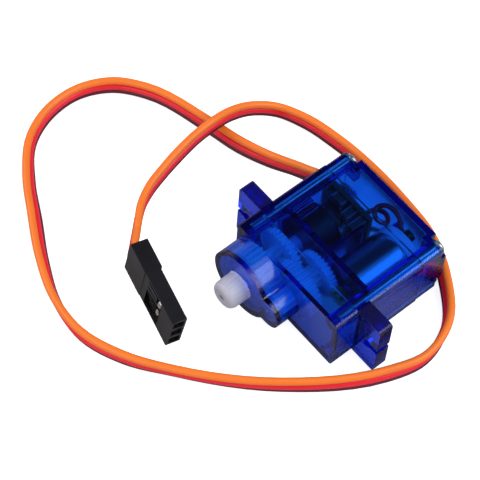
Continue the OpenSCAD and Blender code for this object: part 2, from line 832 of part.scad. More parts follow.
module motor_terminals() {
    strip_top = commutator_z + 0.2 + brush_h;
    color("gold")
        lay_down()
            for (side = [0, 1])
                mirror([0, side, 0])
                    at(motor_x, 0, 0) {
                        at(-terminal_w / 2, terminal_y - strip_t / 2, terminal_bottom)
                            cube([terminal_w, strip_t, strip_top - terminal_bottom]);
                        at(-brush_w / 2, brush_reach, strip_top - strip_t)
                            cube([brush_w, terminal_y - brush_reach, strip_t]);
                    }
}

module motor_brushes() {
    gap = 0.03;
    color("dimgray")
        lay_down()
            for (side = [0, 1])
                mirror([0, side, 0])
                    at(motor_x - brush_w / 2, commutator_d / 2 + gap, commutator_z + 0.2)
                        cube([brush_w, brush_reach - commutator_d / 2 - gap, brush_h]);
}

module terminal_sleeves() {
    color("black")
        lay_down()
            for (side = [-1, 1])
                at(motor_x, side * terminal_y, 0)
                    difference() {
                        rod(sleeve_d, terminal_bottom - 0.3, cap_bottom);
                        at(-terminal_w / 2 - fit_gap, -strip_t / 2 - fit_gap, terminal_bottom)
                            cube([terminal_w + 2 * fit_gap, strip_t + 2 * fit_gap, 2 * end_cap_h]);
                    }
}

module pot_housing() {
    color("black")
        lay_down()
            at(output_x, 0, 0)
                difference() {
                    rod(pot_d, pot_bottom, can_top);
                    rod(pot_d - 2 * pot_wall, pot_bottom + pot_skin, can_top - pot_skin);
                    rod(pot_shaft_d + 2 * run_gap, pot_bottom + pot_skin / 2, can_top + eps);
                    for (k = [-1, 0, 1])
                        at(pot_pin_x - output_x, k * pot_pin_pitch, pot_bottom)
                            cube([pot_pin_t + 0.1, pot_pin_w + 0.1, 3 * pot_skin], center = true);
                }
}

module pot_track() {
    inner_d = 2 * pot_shaft_d;
    color("saddlebrown")
        lay_down()
            at(output_x, 0, pot_bottom + pot_skin)
                difference() {
                    rod(inner_d + 2, 0, 0.3);
                    rod(inner_d, -eps, 1);
                    at(0, -0.6, -eps)
                        cube([inner_d + 2, 1.2, 1]);
                }
}

module pot_shaft() {
    color("white")
        lay_down()
            at(output_x, 0, 0)
                difference() {
                    rod(pot_shaft_d, pot_bottom + pot_skin / 2 + 0.1, pot_flat_top);
                    at(pot_flat, -pot_shaft_d, output_hub_z)
                        cube([pot_shaft_d, 2 * pot_shaft_d, pot_flat_top]);
                }
}

module pot_wiper() {
    arm = pot_shaft_d + 1.1;
    color("khaki")
        lay_down()
            at(output_x, 0, pot_bottom + pot_skin)
                difference() {
                    union() {
                        rod(2 * pot_shaft_d, 1, 2.2);
                        at(-arm, -0.4, 1)
                            cube([arm, 0.8, 0.3]);
                        at(-arm, -0.4, 0.35)
                            cube([0.5, 0.8, 0.9]);
                    }
                    rod(pot_shaft_d + 2 * fit_gap, 0, 3);
                }
}

module pot_pins() {
    bottom = board_z - 0.3;
    color("gold")
        lay_down()
            for (k = [-1, 0, 1])
                at(pot_pin_x - pot_pin_t / 2, k * pot_pin_pitch - pot_pin_w / 2, bottom)
                    cube([pot_pin_t, pot_pin_w, pot_bottom + pot_skin - bottom]);
}

module circuit_board() {
    color("darkgreen")
        lay_down()
            difference() {
                at(board_x, 0, board_z + board_t / 2)
                    cube([board_len, board_w, board_t], center = true);
                posts(post_d + 0.4, board_z - eps, board_top + eps);
                for (k = [-1, 0, 1])
                    at(pot_pin_x, k * pot_pin_pitch, 0)
                        rod(pot_pin_w + 0.3, board_z - eps, board_top + eps);
            }
}

module controller_chip() {
    color("black")
        lay_down()
            at(chip_x, 0, board_top) {
                at(0, 0, 0.1 + chip_size[2] / 2)
                    cube(chip_size, center = true);
                for (side = [-1, 1], k = [-1.5:1:1.5])
                    at(side * (chip_size[0] / 2 + 0.2), k, 0.3)
                        cube([0.6, 0.35, 0.6], center = true);
            }
}

// Small parts on the board: distance from its middle and from the nearer
// long edge, then length, width and height.
board_items = [
    [-3.3, 1.6, 1, 0.6, 0.5], [-0.9, 1.1, 2.6, 1.4, 1.3],
    [1.9, 1.1, 1.6, 1.2, 2.2], [4.1, 1.3, 1.4, 1.6, 2.8]
];

module board_parts() {
    color("tan")
        lay_down()
            for (side = [-1, 1], item = board_items)
                at(board_x + item[0], side * (board_w / 2 - item[1]), board_top + item[4] / 2)
                    cube([item[2], item[3], item[4]], center = true);
}

module lead_tails() {
    bend = tail_x + 1.5;
    color("orangered")
        lay_down()
            for (y = [-wire_d, 0, wire_d])
                tube([[tail_x, y, wire_z], [bend - 0.8, y, wire_z], [bend - 0.3, y, wire_z + 0.2],
                    [bend, y, board_z - 0.3], [bend, y, board_z]], [0, 1, 0], round_shape(wire_d - 0.1));
}

module motor_wire_red() {
    color("red")
        lay_down()
            tube(red_path, [0, 1, 0], round_shape(thin_wire_d));
}

module motor_wire_black() {
    color("black")
        lay_down()
            tube(black_path, [0, 1, 0], round_shape(thin_wire_d));
}

module ribbon_cable() {
    color("orange")
        tube(smooth(ribbon_path, 2), [0, 0, 1], ribbon_shape(wire_d));
}

// The three wires part at the ribbon's end and fan out to the contacts.
module lead_ends() {
    line = smooth(ribbon_path, 2);
    start = line[len(line) - 1];
    run = along(line, len(line) - 1);
    rise = cross(unit(cross(run, [0, 0, 1])), run);
    color("orangered")
        for (k = [-1, 0, 1]) {
            first = start + k * wire_d * rise;
            last = plug_at + k * pitch * plug_up;
            middle = (first + last) / 2 + 0.2 * (run - plug_axis);
            tube([first, first + 0.6 * run, middle, last - 0.6 * plug_axis, last,
                last + contact_start * plug_axis], [0, 0, 1], round_shape(wire_d));
        }
}

// Places its children on the connector, x from the wires to the openings
// along its middle line.
module on_plug() {
    translate(plug_at)
        rotate([-plug_lean, plug_nod, plug_turn])
            children();
}

module connector_housing() {
    wire_hole = wire_d + 0.15;
    color([0.15, 0.15, 0.17])
        on_plug()
            difference() {
                union() {
                    at(0, -plug_t / 2, -plug_h / 2)
                        cube([plug_len, plug_t, plug_h]);
                    at(0, -plug_t / 2 - 0.1, -plug_h / 2)
                        cube([plug_block_len, plug_t + 0.1 + plug_step, plug_h]);
                }
                for (k = [-1, 0, 1])
                    at(0, 0, k * pitch) {
                        at(contact_start - 0.2, -bay / 2, -bay / 2)
                            cube([plug_len, bay, bay]);
                        cube([2 * contact_start, wire_hole, wire_hole], center = true);
                        difference() {
                            at(window_start, -plug_t, -bay / 2)
                                cube([window_end - window_start, plug_t, bay]);
                            at(window_start - eps, -plug_t / 2, -latch_w / 2)
                                cube([latch_len, plug_side_wall, latch_w]);
                        }
                    }
            }
}

module connector_contacts() {
    box = bay - 0.2;
    box_start = contact_end - contact_box_len;
    color("silver")
        on_plug()
            for (k = [-1, 0, 1])
                at(0, 0, k * pitch)
                    difference() {
                        union() {
                            at(box_start, -box / 2, -box / 2)
                                cube([contact_box_len, box, box]);
                            at(contact_start, -0.5, -0.6)
                                cube([box_start - contact_start + eps, 1, 1.2]);
                        }
                        at(box_start + 0.8, -0.5, -0.5)
                            cube([contact_box_len, 1, 1]);
                    }
}

top_cover();
middle_case();
bottom_cover();
case_screws();
idler_pin();
output_gear();
third_gear();
second_gear();
first_gear();
motor_pinion();
motor_shaft();
motor_armature();
motor_windings();
motor_commutator();
motor_can();
motor_magnets();
motor_bushes();
motor_end_cap();
motor_terminals();
motor_brushes();
terminal_sleeves();
pot_housing();
pot_track();
pot_shaft();
pot_wiper();
pot_pins();
circuit_board();
controller_chip();
board_parts();
lead_tails();
motor_wire_red();
motor_wire_black();
ribbon_cable();
lead_ends();
connector_housing();
connector_contacts();
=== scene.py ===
import bmesh
import bpy
import json
import math
from mathutils import Matrix, Vector

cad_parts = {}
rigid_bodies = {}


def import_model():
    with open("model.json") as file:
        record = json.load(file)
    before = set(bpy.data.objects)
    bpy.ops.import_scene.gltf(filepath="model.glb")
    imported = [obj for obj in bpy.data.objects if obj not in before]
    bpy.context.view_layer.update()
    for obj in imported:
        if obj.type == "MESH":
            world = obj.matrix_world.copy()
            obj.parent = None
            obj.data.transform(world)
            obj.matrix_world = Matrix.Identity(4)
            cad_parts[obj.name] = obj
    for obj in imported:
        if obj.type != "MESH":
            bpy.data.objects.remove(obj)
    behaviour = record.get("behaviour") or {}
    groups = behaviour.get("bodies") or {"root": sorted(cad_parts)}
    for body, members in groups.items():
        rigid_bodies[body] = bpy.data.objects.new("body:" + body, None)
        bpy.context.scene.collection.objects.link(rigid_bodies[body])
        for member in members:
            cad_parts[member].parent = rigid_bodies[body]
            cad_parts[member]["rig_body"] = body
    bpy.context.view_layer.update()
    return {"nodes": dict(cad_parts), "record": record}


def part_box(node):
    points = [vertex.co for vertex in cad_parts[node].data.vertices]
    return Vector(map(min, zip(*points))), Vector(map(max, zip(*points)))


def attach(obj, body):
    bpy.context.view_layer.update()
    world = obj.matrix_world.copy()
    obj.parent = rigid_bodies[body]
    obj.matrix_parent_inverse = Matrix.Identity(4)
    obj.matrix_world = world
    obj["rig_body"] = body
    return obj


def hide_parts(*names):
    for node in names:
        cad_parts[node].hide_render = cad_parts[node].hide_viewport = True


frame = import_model()
nodes = frame["nodes"]
slotOf = {part["node"]: part["material_slot"] for part in frame["record"]["subparts"]}
mm = 0.001
print("frame loaded,", len(nodes), "nodes")


def placed(name, data):
    # A new object in the scene, at the origin.
    obj = bpy.data.objects.new(name, data)
    bpy.context.scene.collection.objects.link(obj)
    return obj


# Camera

viewSettings = {
    "target": (-14.07, -4.01, 0.0),  # mm
    "distance": 302.7,
    "azimuth": 46.17,  # degrees
    "elevation": 59.2,
    "roll": 4.665,
    "lens": 144.6,
    "sensor": 36,
}


def makeCamera(s):
    az, el, roll = (math.radians(s[k]) for k in ("azimuth", "elevation", "roll"))
    back = Vector((math.sin(az) * math.cos(el), -math.cos(az) * math.cos(el), math.sin(el)))
    right = Vector((math.cos(az), math.sin(az), 0))
    camX = math.cos(roll) * right + math.sin(roll) * back.cross(right)
    camY = back.cross(camX)
    data = bpy.data.cameras.new("camera")
    data.lens = s["lens"]
    data.sensor_width = s["sensor"]
    place = Matrix((camX, camY, back)).transposed().to_4x4()
    place.translation = Vector(s["target"]) * mm + back * s["distance"] * mm
    cam = placed("camera", data)
    cam.matrix_world = place
    bpy.context.scene.camera = cam


makeCamera(viewSettings)
print("camera set")


# Node helpers, used by materials, trees and the stage

def fill(socket, value):
    # An input takes a plain value, or is linked to another node's output.
    if isinstance(value, bpy.types.NodeSocket):
        socket.id_data.links.new(value, socket)
    else:
        socket.default_value = value


def feed(n, **inputs):
    for key, value in inputs.items():
        fill(n.inputs[key.replace("_", " ")], value)


def add(tree, kind, **values):
    # A new node. Names that start with a capital are its inputs, the others its settings.
    n = tree.nodes.new(kind)
    for key, value in values.items():
        if key[0].isupper():
            feed(n, **{key: value})
        else:
            setattr(n, key, value)
    return n


def newTree(kind, name, inputs, outputs):
    # A group of nodes, with named inputs and their values, and named outputs.
    tree = bpy.data.node_groups.new(name, kind)
    for label, socket, *value in inputs:
        made = tree.interface.new_socket(name=label, in_out="INPUT", socket_type="NodeSocket" + socket)
        if value:
            made.default_value = value[0]
    for label, socket in outputs:
        tree.interface.new_socket(name=label, in_out="OUTPUT", socket_type="NodeSocket" + socket)
    return tree, add(tree, "NodeGroupInput").outputs, add(tree, "NodeGroupOutput")


def mathNode(tree, operation, a, b=0, clamp=False):
    # One sum, product or the like of two outputs or numbers.
    n = add(tree, "ShaderNodeMath", operation=operation, use_clamp=clamp)
    fill(n.inputs[0], a)
    fill(n.inputs[1], b)
    return n.outputs[0]


def mixColors(tree, factor, first, second):
    # The color sockets go by number, because other sockets of the node have the same names.
    n = add(tree, "ShaderNodeMix", data_type="RGBA", Factor=factor)
    fill(n.inputs[6], first)
    fill(n.inputs[7], second)
    return n.outputs[2]


def ownPlace(tree):
    return add(tree, "ShaderNodeTexCoord").outputs["Object"]


def splitPlace(tree):
    return add(tree, "ShaderNodeSeparateXYZ", Vector=ownPlace(tree)).outputs


def alongY(tree, places, values=(0, 1)):
    # Goes from the first value to the second between two places, in mm along Y.
    return add(tree, "ShaderNodeMapRange", Value=splitPlace(tree)["Y"], From_Min=places[0] * mm,
               From_Max=places[1] * mm, To_Min=values[0], To_Max=values[1]).outputs["Result"]


def noiseNode(tree, scale, detail, stretch=None):
    # Noise over a piece's own place, which stretch multiplies along each axis.
    place = ownPlace(tree)
    if stretch is not None:
        pull = add(tree, "ShaderNodeVectorMath", operation="MULTIPLY")
        fill(pull.inputs[0], place)
        fill(pull.inputs[1], stretch)
        place = pull.outputs[0]
    return add(tree, "ShaderNodeTexNoise", Scale=scale, Detail=detail, Vector=place).outputs["Fac"]


# Surface effects that several materials share

effectSettings = {
    "grainDetail": 3,
    "patchScale": 260,  # slow changes of gloss and tone
    "patchDetail": 2,
    "lineDetail": 4,
    "trackStagger": 0.37,  # share of a track that each row is moved
    "trackSquash": (1.6, 3),  # times as long, in every so many rows
    "gapWidth": 0.03,
    "gapSoft": 0.2,
}


def makeMoulded(s):
    # Fine grain of a moulded surface, with slow changes of gloss and tone.
    tree, given, end = newTree("ShaderNodeTree", "mouldedSurface", [
        ("Color", "Color", (0.5, 0.5, 0.5, 1)), ("Roughness", "Float", 0.4), ("Grain Size", "Float", 6000.0),
        ("Uneven", "Float", 0.1)], [("Color", "Color"), ("Roughness", "Float"), ("Height", "Float")])
    patches = noiseNode(tree, s["patchScale"], s["patchDetail"])
    drift = add(tree, "ShaderNodeMapRange", Value=patches, To_Min=-1, To_Max=1)
    amount = mathNode(tree, "MULTIPLY", drift.outputs["Result"], given["Uneven"])
    tone = add(tree, "ShaderNodeHueSaturation", Color=given["Color"],
               Value=mathNode(tree, "ADD", amount, 1.0))
    feed(end, Color=tone.outputs["Color"], Roughness=mathNode(tree, "ADD", given["Roughness"], amount, True),
         Height=noiseNode(tree, given["Grain Size"], s["grainDetail"]))
    return tree


def makeTurned(s):
    # Fine lines round a turned or drawn metal piece, along one axis.
    tree, given, end = newTree("ShaderNodeTree", "turnedMetal", [
        ("Roughness", "Float", 0.3), ("Stretch", "Vector", (300.0, 9000.0, 300.0)),
        ("Uneven", "Float", 0.15)], [("Roughness", "Float"), ("Height", "Float")])
    lines = noiseNode(tree, 1, s["lineDetail"], given["Stretch"])
    spread = mathNode(tree, "MULTIPLY", lines, given["Uneven"])
    feed(end, Roughness=mathNode(tree, "ADD", spread, given["Roughness"]), Height=lines)
    return tree


def makeTracked(s):
    # Copper tracks under a board's solder mask, as raised, lighter bands.
    tree, given, end = newTree("ShaderNodeTree", "trackedBoard", [
        ("Over Copper", "Color", (0.012, 0.13, 0.06, 1)), ("Over Gaps", "Color", (0.006, 0.06, 0.03, 1)),
        ("Track Size", "Float", 900.0)], [("Color", "Color"), ("Height", "Float")])
    flat = add(tree, "ShaderNodeMapping", Rotation=(math.pi / 2, 0, 0), Vector=ownPlace(tree))
    longer, every = s["trackSquash"]
    bricks = add(tree, "ShaderNodeTexBrick", offset=s["trackStagger"], squash=longer, squash_frequency=every,
                 Mortar_Size=s["gapWidth"], Mortar_Smooth=s["gapSoft"], Vector=flat.outputs["Vector"],
                 Scale=given["Track Size"]).outputs["Fac"]
    feed(end, Color=mixColors(tree, bricks, given["Over Copper"], given["Over Gaps"]),
         Height=mathNode(tree, "SUBTRACT", 1.0, bricks))
    return tree


mouldedGroup = makeMoulded(effectSettings)
turnedGroup = makeTurned(effectSettings)
trackedGroup = makeTracked(effectSettings)


# Materials

bumpSettings = {
    "grain": 0.35,  # strength
    "lineDepth": 0.01,  # mm
    "tracks": (0.5, 0.03),  # strength and mm
    "scatter": 0.8,  # mm that light travels inside a milky plastic
}


def newMaterial(name, color):
    mat = bpy.data.materials.new(name)
    mat.use_nodes = True
    mat.diffuse_color = (*color, 1) if len(color) == 3 else color
    tree = mat.node_tree
    tree.nodes.clear()
    surface = add(tree, "ShaderNodeBsdfPrincipled")
    out = add(tree, "ShaderNodeOutputMaterial", Surface=surface.outputs[0])
    return mat, tree, surface, out


def bumped(surface, height, strength, depth):
    bump = add(surface.id_data, "ShaderNodeBump", Strength=strength, Distance=depth * mm, Height=height)
    feed(surface, Normal=bump.outputs["Normal"])


def plastic(name, color, roughness, uneven=0.06, grain=7000, depth=0.02, glow=0, specular=0.5, paintedTones=None):
    # One moulding; the last argument gives a painted shade for its outer part, and where along Y it lies.
    mat, tree, surface = newMaterial(name, color)[:3]
    group = add(tree, "ShaderNodeGroup", node_tree=mouldedGroup, Color=(*color, 1), Roughness=roughness,
                Grain_Size=grain, Uneven=uneven)
    if paintedTones:
        # The outer part in painted shade, the part inside the case paler with painted light.
        share = alongY(tree, paintedTones["places"])
        feed(group, Color=mixColors(tree, share, (*paintedTones["color"], 1), (*color, 1)))
    feed(surface, Base_Color=group.outputs["Color"], Roughness=group.outputs["Roughness"],
         Specular_IOR_Level=specular)
    bumped(surface, group.outputs["Height"], bumpSettings["grain"], depth)
    if glow:
        feed(surface, Subsurface_Weight=glow, Subsurface_Radius=(1, 1, 1),
             Subsurface_Scale=bumpSettings["scatter"] * mm)
    return mat


def metal(name, color, roughness, stretch=(300, 9000, 300), uneven=0.12, lines=0.15):
    mat, tree, surface = newMaterial(name, color)[:3]
    group = add(tree, "ShaderNodeGroup", node_tree=turnedGroup, Roughness=roughness, Stretch=stretch,
                Uneven=uneven)
    feed(surface, Base_Color=(*color, 1), Metallic=1, Roughness=group.outputs["Roughness"])
    bumped(surface, group.outputs["Height"], lines, bumpSettings["lineDepth"])
    return mat


def board(name, overCopper, overGaps, roughness):
    mat, tree, surface = newMaterial(name, overCopper)[:3]
    group = add(tree, "ShaderNodeGroup", node_tree=trackedGroup, Over_Copper=(*overCopper, 1),
                Over_Gaps=(*overGaps, 1))
    feed(surface, Base_Color=group.outputs["Color"], Roughness=roughness)
    bumped(surface, group.outputs["Height"], *bumpSettings["tracks"])
    return mat


clearSettings = {
    "roughness": 0.13,
    "smudge": 0.05,  # how much rougher the dullest patches are
    "smudgeNoise": (500, 3),  # scale and detail
    "wear": 0.2,  # how much rougher the long outer edges are
    "edges": (11.0, 5.5),  # mm, where they begin: along the case, and either side of its middle
    "middle": 5.9,
    "fade": 0.3,  # mm over which the wear sets in
    "wavesNoise": (420, 1.5),
    "waves": (0.12, 0.1),  # strength and mm
    "ior": 1.5,
    "tint": (0.85, 0.93, 1.0),  # taken at the surface
    "taken": (2600.0, 1060.0, 160.0),  # share of each colour taken per metre of plastic
    "plain": (0.03, 0.1, 0.8, 0.5),  # where materials aren't rendered
}


def wornEdges(tree, s):
    # 1 along the long outer edges of the case, 0 elsewhere.
    place = splitPlace(tree)
    out = [mathNode(tree, "ABSOLUTE", place["X"]),
           mathNode(tree, "ABSOLUTE", mathNode(tree, "SUBTRACT", place["Z"], s["middle"] * mm))]
    near = [mathNode(tree, "DIVIDE", mathNode(tree, "SUBTRACT", far, edge * mm), s["fade"] * mm, True)
            for far, edge in zip(out, s["edges"])]
    return mathNode(tree, "MULTIPLY", *near)


def clearPlastic(name, s):
    # Lamps and scattered light pass straight through; what is seen is bent.
    mat, tree, surface, out = newMaterial(name, s["plain"])
    patches = mathNode(tree, "MULTIPLY", noiseNode(tree, *s["smudgeNoise"]), s["smudge"])
    rough = mathNode(tree, "ADD", patches, s["roughness"] - s["smudge"] / 2, True)
    worn = mathNode(tree, "MULTIPLY", wornEdges(tree, s), s["wear"])
    feed(surface, Base_Color=(*s["tint"], 1), Transmission_Weight=1, IOR=s["ior"],
         Roughness=mathNode(tree, "ADD", rough, worn, True))
    bumped(surface, noiseNode(tree, *s["wavesNoise"]), *s["waves"])
    path = add(tree, "ShaderNodeLightPath").outputs
    mix = add(tree, "ShaderNodeMixShader")
    fill(mix.inputs[0], mathNode(tree, "MAXIMUM", path["Is Shadow Ray"], path["Is Diffuse Ray"]))
    fill(mix.inputs[1], surface.outputs[0])
    fill(mix.inputs[2], add(tree, "ShaderNodeBsdfTransparent").outputs[0])
    most = max(s["taken"])
    left = [1 - t / most for t in s["taken"]]
    inside = add(tree, "ShaderNodeVolumeAbsorption", Color=(*left, 1), Density=most)
    feed(out, Surface=mix.outputs[0], Volume=inside.outputs[0])
    return mat


# Painted tones on one nylon: the outer part darker and lilac, painted shade with a blue cast.
shaftPaintedTones = {
    "color": (0.5, 0.49, 0.58),
    "places": (-12.0, -11.3),  # mm, y where it starts to turn paler with painted light, and where it has
}
materials = {
    "clear_blue_plastic": clearPlastic("clearBlue", clearSettings),
    "white_nylon": plastic("milkyNylon", (0.7, 0.7, 0.8), 0.45, uneven=0.03, glow=0.9, paintedTones=shaftPaintedTones),
    "innerNylon": plastic("innerNylon", (0.8, 0.8, 0.88), 0.4, uneven=0.03, glow=0.3),
    "screw_steel": metal("zincSteel", (0.45, 0.45, 0.48), 0.3),
    "pin_steel": metal("groundSteel", (0.7, 0.7, 0.72), 0.15),
    "core_steel": metal("coreSteel", (0.3, 0.3, 0.32), 0.4, (300, 20000, 300)),
    "can_steel": metal("platedCan", (0.5, 0.52, 0.55), 0.2, uneven=0.05, lines=0.03),
    "brass": metal("plainBrass", (0.75, 0.53, 0.2), 0.25),
    "copper_wire": metal("copperWinding", (0.75, 0.3, 0.12), 0.3, (300, 12000, 300)),
    "tinned_metal": metal("tinnedMetal", (0.75, 0.75, 0.72), 0.22, (2000, 2000, 2000)),
    "magnet_black": plastic("ferrite", (0.05, 0.05, 0.055), 0.6, grain=12000),
    "black_plastic": plastic("blackPlastic", (0.008, 0.008, 0.01), 0.4, specular=0.3),
    "track_carbon": plastic("carbonTrack", (0.08, 0.05, 0.04), 0.5),
    "green_board": board("boardGreen", (0.006, 0.06, 0.03), (0.003, 0.03, 0.015), 0.35),
    "cable_orange": plastic("wireOrange", (0.9, 0.187, 0.013), 0.38, grain=3000),
    "cable_red": plastic("wireRed", (0.84, 0.007, 0.025), 0.38, grain=3000),
    "wireBrown": plastic("wireBrown", (0.125, 0.006, 0.026), 0.4, grain=3000),
    "componentBrown": plastic("componentBrown", (0.06, 0.045, 0.03), 0.6, grain=9000, specular=0.3),
    "connector_black": plastic("connectorBlack", (0.003, 0.003, 0.007), 0.38, grain=5000, depth=0.03,
                               specular=0.45),
}

finishOf = {**slotOf, "third_gear": "innerNylon", "second_gear": "innerNylon", "first_gear": "innerNylon"}
for node, finish in finishOf.items():
    nodes[node].data.materials.clear()
    nodes[node].data.materials.append(materials[finish])
print("materials made")


# The lead: three wires side by side, on edge. Its route runs through the same points as its solid.

leadSettings = {
    "wire": 1.25,  # mm across one wire
    "swell": 1.01,  # times that in the ribbon, so that neighbours meet
    "sides": 16,
    "steps": 6,  # rings to each stretch of the route
    "length": 0.246,
    # At each point of the route: degrees that the top wire leans outwards, mm that the lead lies further out,
    # and mm that the middle wire stands out of line.
    "leans": [0, 0, 0, -4, -6, 1, 6, 5, 1, -1, -3, 2, 7, 18, 25, 22, 14, 6, 7, 14, 5, -4, 3, 9, 9, 6, 0, -2,
              1, -3, -8, -10, -7, -4, -3, 0, -1, -1, -4, -8],
    "shifts": [0, 0, 0, 0, 0, 0, -0.08, -0.1, 0.1, 0.1, 0.12, 0.12, 0.25, -0.25, -0.5, -0.42, -0.27, -0.04,
               -0.16, -0.27, -0.05, 0.1, -0.1, -0.15, -0.4, -0.3, -0.45, -0.1, 0.05, 0.02, 0.1, 0.08, 0.05,
               0.1, -0.05, 0.04, 0.02, 0.02, 0.05, 0],
    "bows": [0, 0, 0, 0] + [-0.18] * 12 + [0] + [0.18] * 5 + [0] + [-0.18] * 16 + [0],
    "join": 0.1,  # mm of each parted end inside the ribbon
    "straight": 0.8,  # mm that it leaves the ribbon straight
    "reach": 0.7,  # mm that it comes up to the connector straight
    "entry": 1.2,  # mm of it inside
}
ribbonRoute = [
    (-8.5, 10.565, 5.9), (-10.4, 10.565, 5.9), (-12.2, 10.565, 5.9), (-14.4, 10.1, 5.2), (-17.6, 9.5, 3.8),
    (-21.6, 8.4, 2.3), (-27, 6.6, 1.9), (-33, 5.2, 1.9), (-44.5, 1.2, 1.9), (-48.6, -2.2, 1.9),
    (-51, -7.5, 1.9), (-50.8, -13.4, 1.9), (-48, -19, 1.9), (-43, -23.8, 1.9), (-36.6, -27.7, 1.9),
    (-29.8, -31.3, 1.9), (-22.6, -33.9, 1.9), (-15.4, -34.2, 1.9), (-8.4, -31.8, 1.9), (-1.6, -27.2, 1.9),
    (10, -16, 1.9), (18.4, -2.4, 1.9), (20.2, 4, 1.9), (18, 10.6, 1.9), (12.4, 15.7, 1.9),
    (5.4, 18.9, 1.9), (-2.2, 20.2, 1.9), (-10.2, 20.1, 1.9), (-17.6, 19.2, 1.9), (-24.2, 17.7, 1.95),
    (-27.9, 15.5, 2.4), (-30, 12, 3.7), (-30.7, 7.5, 5.3), (-30.4, 3.9, 6.2), (-30.2, 0.3, 6.4),
    (-29.4, -4, 6.2), (-28.5, -8, 5.9), (-27.4, -11.6, 5.6), (-25.7, -14.6, 5.5), (-23.1, -17.5, 5.5),
]
plugPlace = {
    "at": (-19.9, -20.3),  # mm, middle of its end at the wires
    "turns": (-5.3, 6.3, -12.8),  # degrees about its length, across it and upright
    "size": (14.4, 2.5, 7.68),
    "pitch": 2.54,
    "clear": 0.02,  # mm under its lowest corner
}
up = Vector((0, 0, 1))
sharpAngle = math.radians(35)  # edges sharper than this stay edges


def smoothRoute(points, steps, round=False):
    # Catmull-Rom through the points; round lets a long stretch bulge between short ones.
    p = [Vector(q) * mm for q in points]
    p = [2 * p[0] - p[1]] + p + [2 * p[-1] - p[-2]]
    out = []
    for i in range(1, len(p) - 2):
        a, b, c, d = p[i - 1:i + 3]
        ab, bc, cd = ((w - v).length if round else 1 for v, w in ((a, b), (b, c), (c, d)))
        leave = ((b - a) / ab * bc + (c - b) / bc * ab) * bc / (ab + bc)
        reach = ((c - b) / bc * cd + (d - c) / cd * bc) * bc / (bc + cd)
        for k in range(steps):
            t = k / steps
            out.append((2 * t ** 3 - 3 * t * t + 1) * b + (t ** 3 - 2 * t * t + t) * leave
                       + (3 * t * t - 2 * t ** 3) * c + (t ** 3 - t * t) * reach)
    return out + [p[-2]]


def alongRoute(values, steps):
    # A value at each ring, from those at the route's points, without sharp changes.
    return [v.x for v in smoothRoute([(value / mm, 0, 0) for value in values], steps)]


def runAt(path, i):
    # The way the path runs at one of its points.
    return (path[min(i + 1, len(path) - 1)] - path[max(i - 1, 0)]).normalized()


def newShape():
    return {"verts": [], "faces": [], "slots": []}


def addTube(shape, path, radius, sides, slot, aside=0, upright=up, leans=None, bows=None):
    # One round tube; aside and bows give how far its line lies from the path, upright and across.
    verts, faces, middles = shape["verts"], shape["faces"], []
    first, rings = len(verts), len(path)
    for i, here in enumerate(path):
        run = runAt(path, i)
        across = run.cross(upright).normalized()
        high = across.cross(run)
        if leans:
            high = Matrix.Rotation(leans[i], 3, run) @ high
            across = run.cross(high)
        middle = here + high * aside + across * (bows[i] if bows else 0)
        middles.append(middle)
        for k in range(sides):
            a = 2 * math.pi * k / sides
            verts.append(middle + radius * (math.cos(a) * across + math.sin(a) * high))
    for i in range(rings - 1):
        for k in range(sides):
            a, b = first + i * sides + k, first + i * sides + (k + 1) % sides
            faces.append((a, b, b + sides, a + sides))
    faces.append(tuple(first + k for k in reversed(range(sides))))
    faces.append(tuple(first + (rings - 1) * sides + k for k in range(sides)))
    shape["slots"] += [slot] * ((rings - 1) * sides + 2)
    return middles


def markEdges(bm):
    # Smooth but for the sharp edges, which are returned.
    for f in bm.faces:
        f.smooth = True
    sharp = [e for e in bm.edges if len(e.link_faces) == 2 and e.calc_face_angle() > sharpAngle]
    for e in sharp:
        e.smooth = False
    return sharp


def finishMesh(mesh):
    # Outward faces, smooth but for the sharp edges.
    bm = bmesh.new()
    bm.from_mesh(mesh)
    bmesh.ops.recalc_face_normals(bm, faces=bm.faces)
    markEdges(bm)
    bm.to_mesh(mesh)
    bm.free()


def meshFrom(bm, name):
    mesh = bpy.data.meshes.new(name)
    bm.to_mesh(mesh)
    bm.free()
    return mesh


def meshPiece(name, shape, mats):
    mesh = bpy.data.meshes.new(name)
    mesh.from_pydata([tuple(v) for v in shape["verts"]], [], shape["faces"])
    for m in mats:
        mesh.materials.append(m)
    mesh.polygons.foreach_set("material_index", shape["slots"])
    finishMesh(mesh)
    return placed(name, mesh)


def keepResult(obj):
    # The modifiers' result becomes the piece's own mesh.
    done = bpy.data.meshes.new_from_object(obj.evaluated_get(bpy.context.evaluated_depsgraph_get()))
    obj.modifiers.clear()
    obj.data = done
    return obj


def standFor(obj, source):
    # The piece takes over from a CAD node, on its body.
    body = nodes[source]["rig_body"]
    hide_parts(source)
    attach(obj, body)
    return obj


wireMats = [materials["cable_orange"], materials["cable_red"], materials["wireBrown"]]


def makeLead(s):
    steps, wire = s["steps"], s["wire"] * mm
    path = smoothRoute(ribbonRoute, steps, True)
    turns = alongRoute([math.radians(a) for a in s["leans"]], steps)
    shifts = alongRoute([a * mm for a in s["shifts"]], steps)
    bows = alongRoute([a * mm for a in s["bows"]], steps)
    centre = [here + runAt(path, i).cross(up) * shifts[i] for i, here in enumerate(path)]
    shape = newShape()
    wires = [addTube(shape, centre, wire / 2 * s["swell"], s["sides"], k, (1 - k) * wire, leans=turns,
                     bows=bows if k == 1 else None) for k in range(3)]
    return meshPiece("flatLead", shape, wireMats), centre, wires


def plugFrame(s):
    # How the connector is turned, and the middle of its end at the wires.
    lean, nod, turn = (math.radians(a) for a in s["turns"])
    turned = Matrix.Rotation(turn, 3, "Z") @ Matrix.Rotation(nod, 3, "Y") @ Matrix.Rotation(lean, 3, "X")
    length, thick, high = s["size"]
    lowest = min((turned @ Vector((length, side * thick / 2, -high / 2))).z for side in (-1, 1))
    return turned, Vector((*s["at"], s["clear"] - lowest))


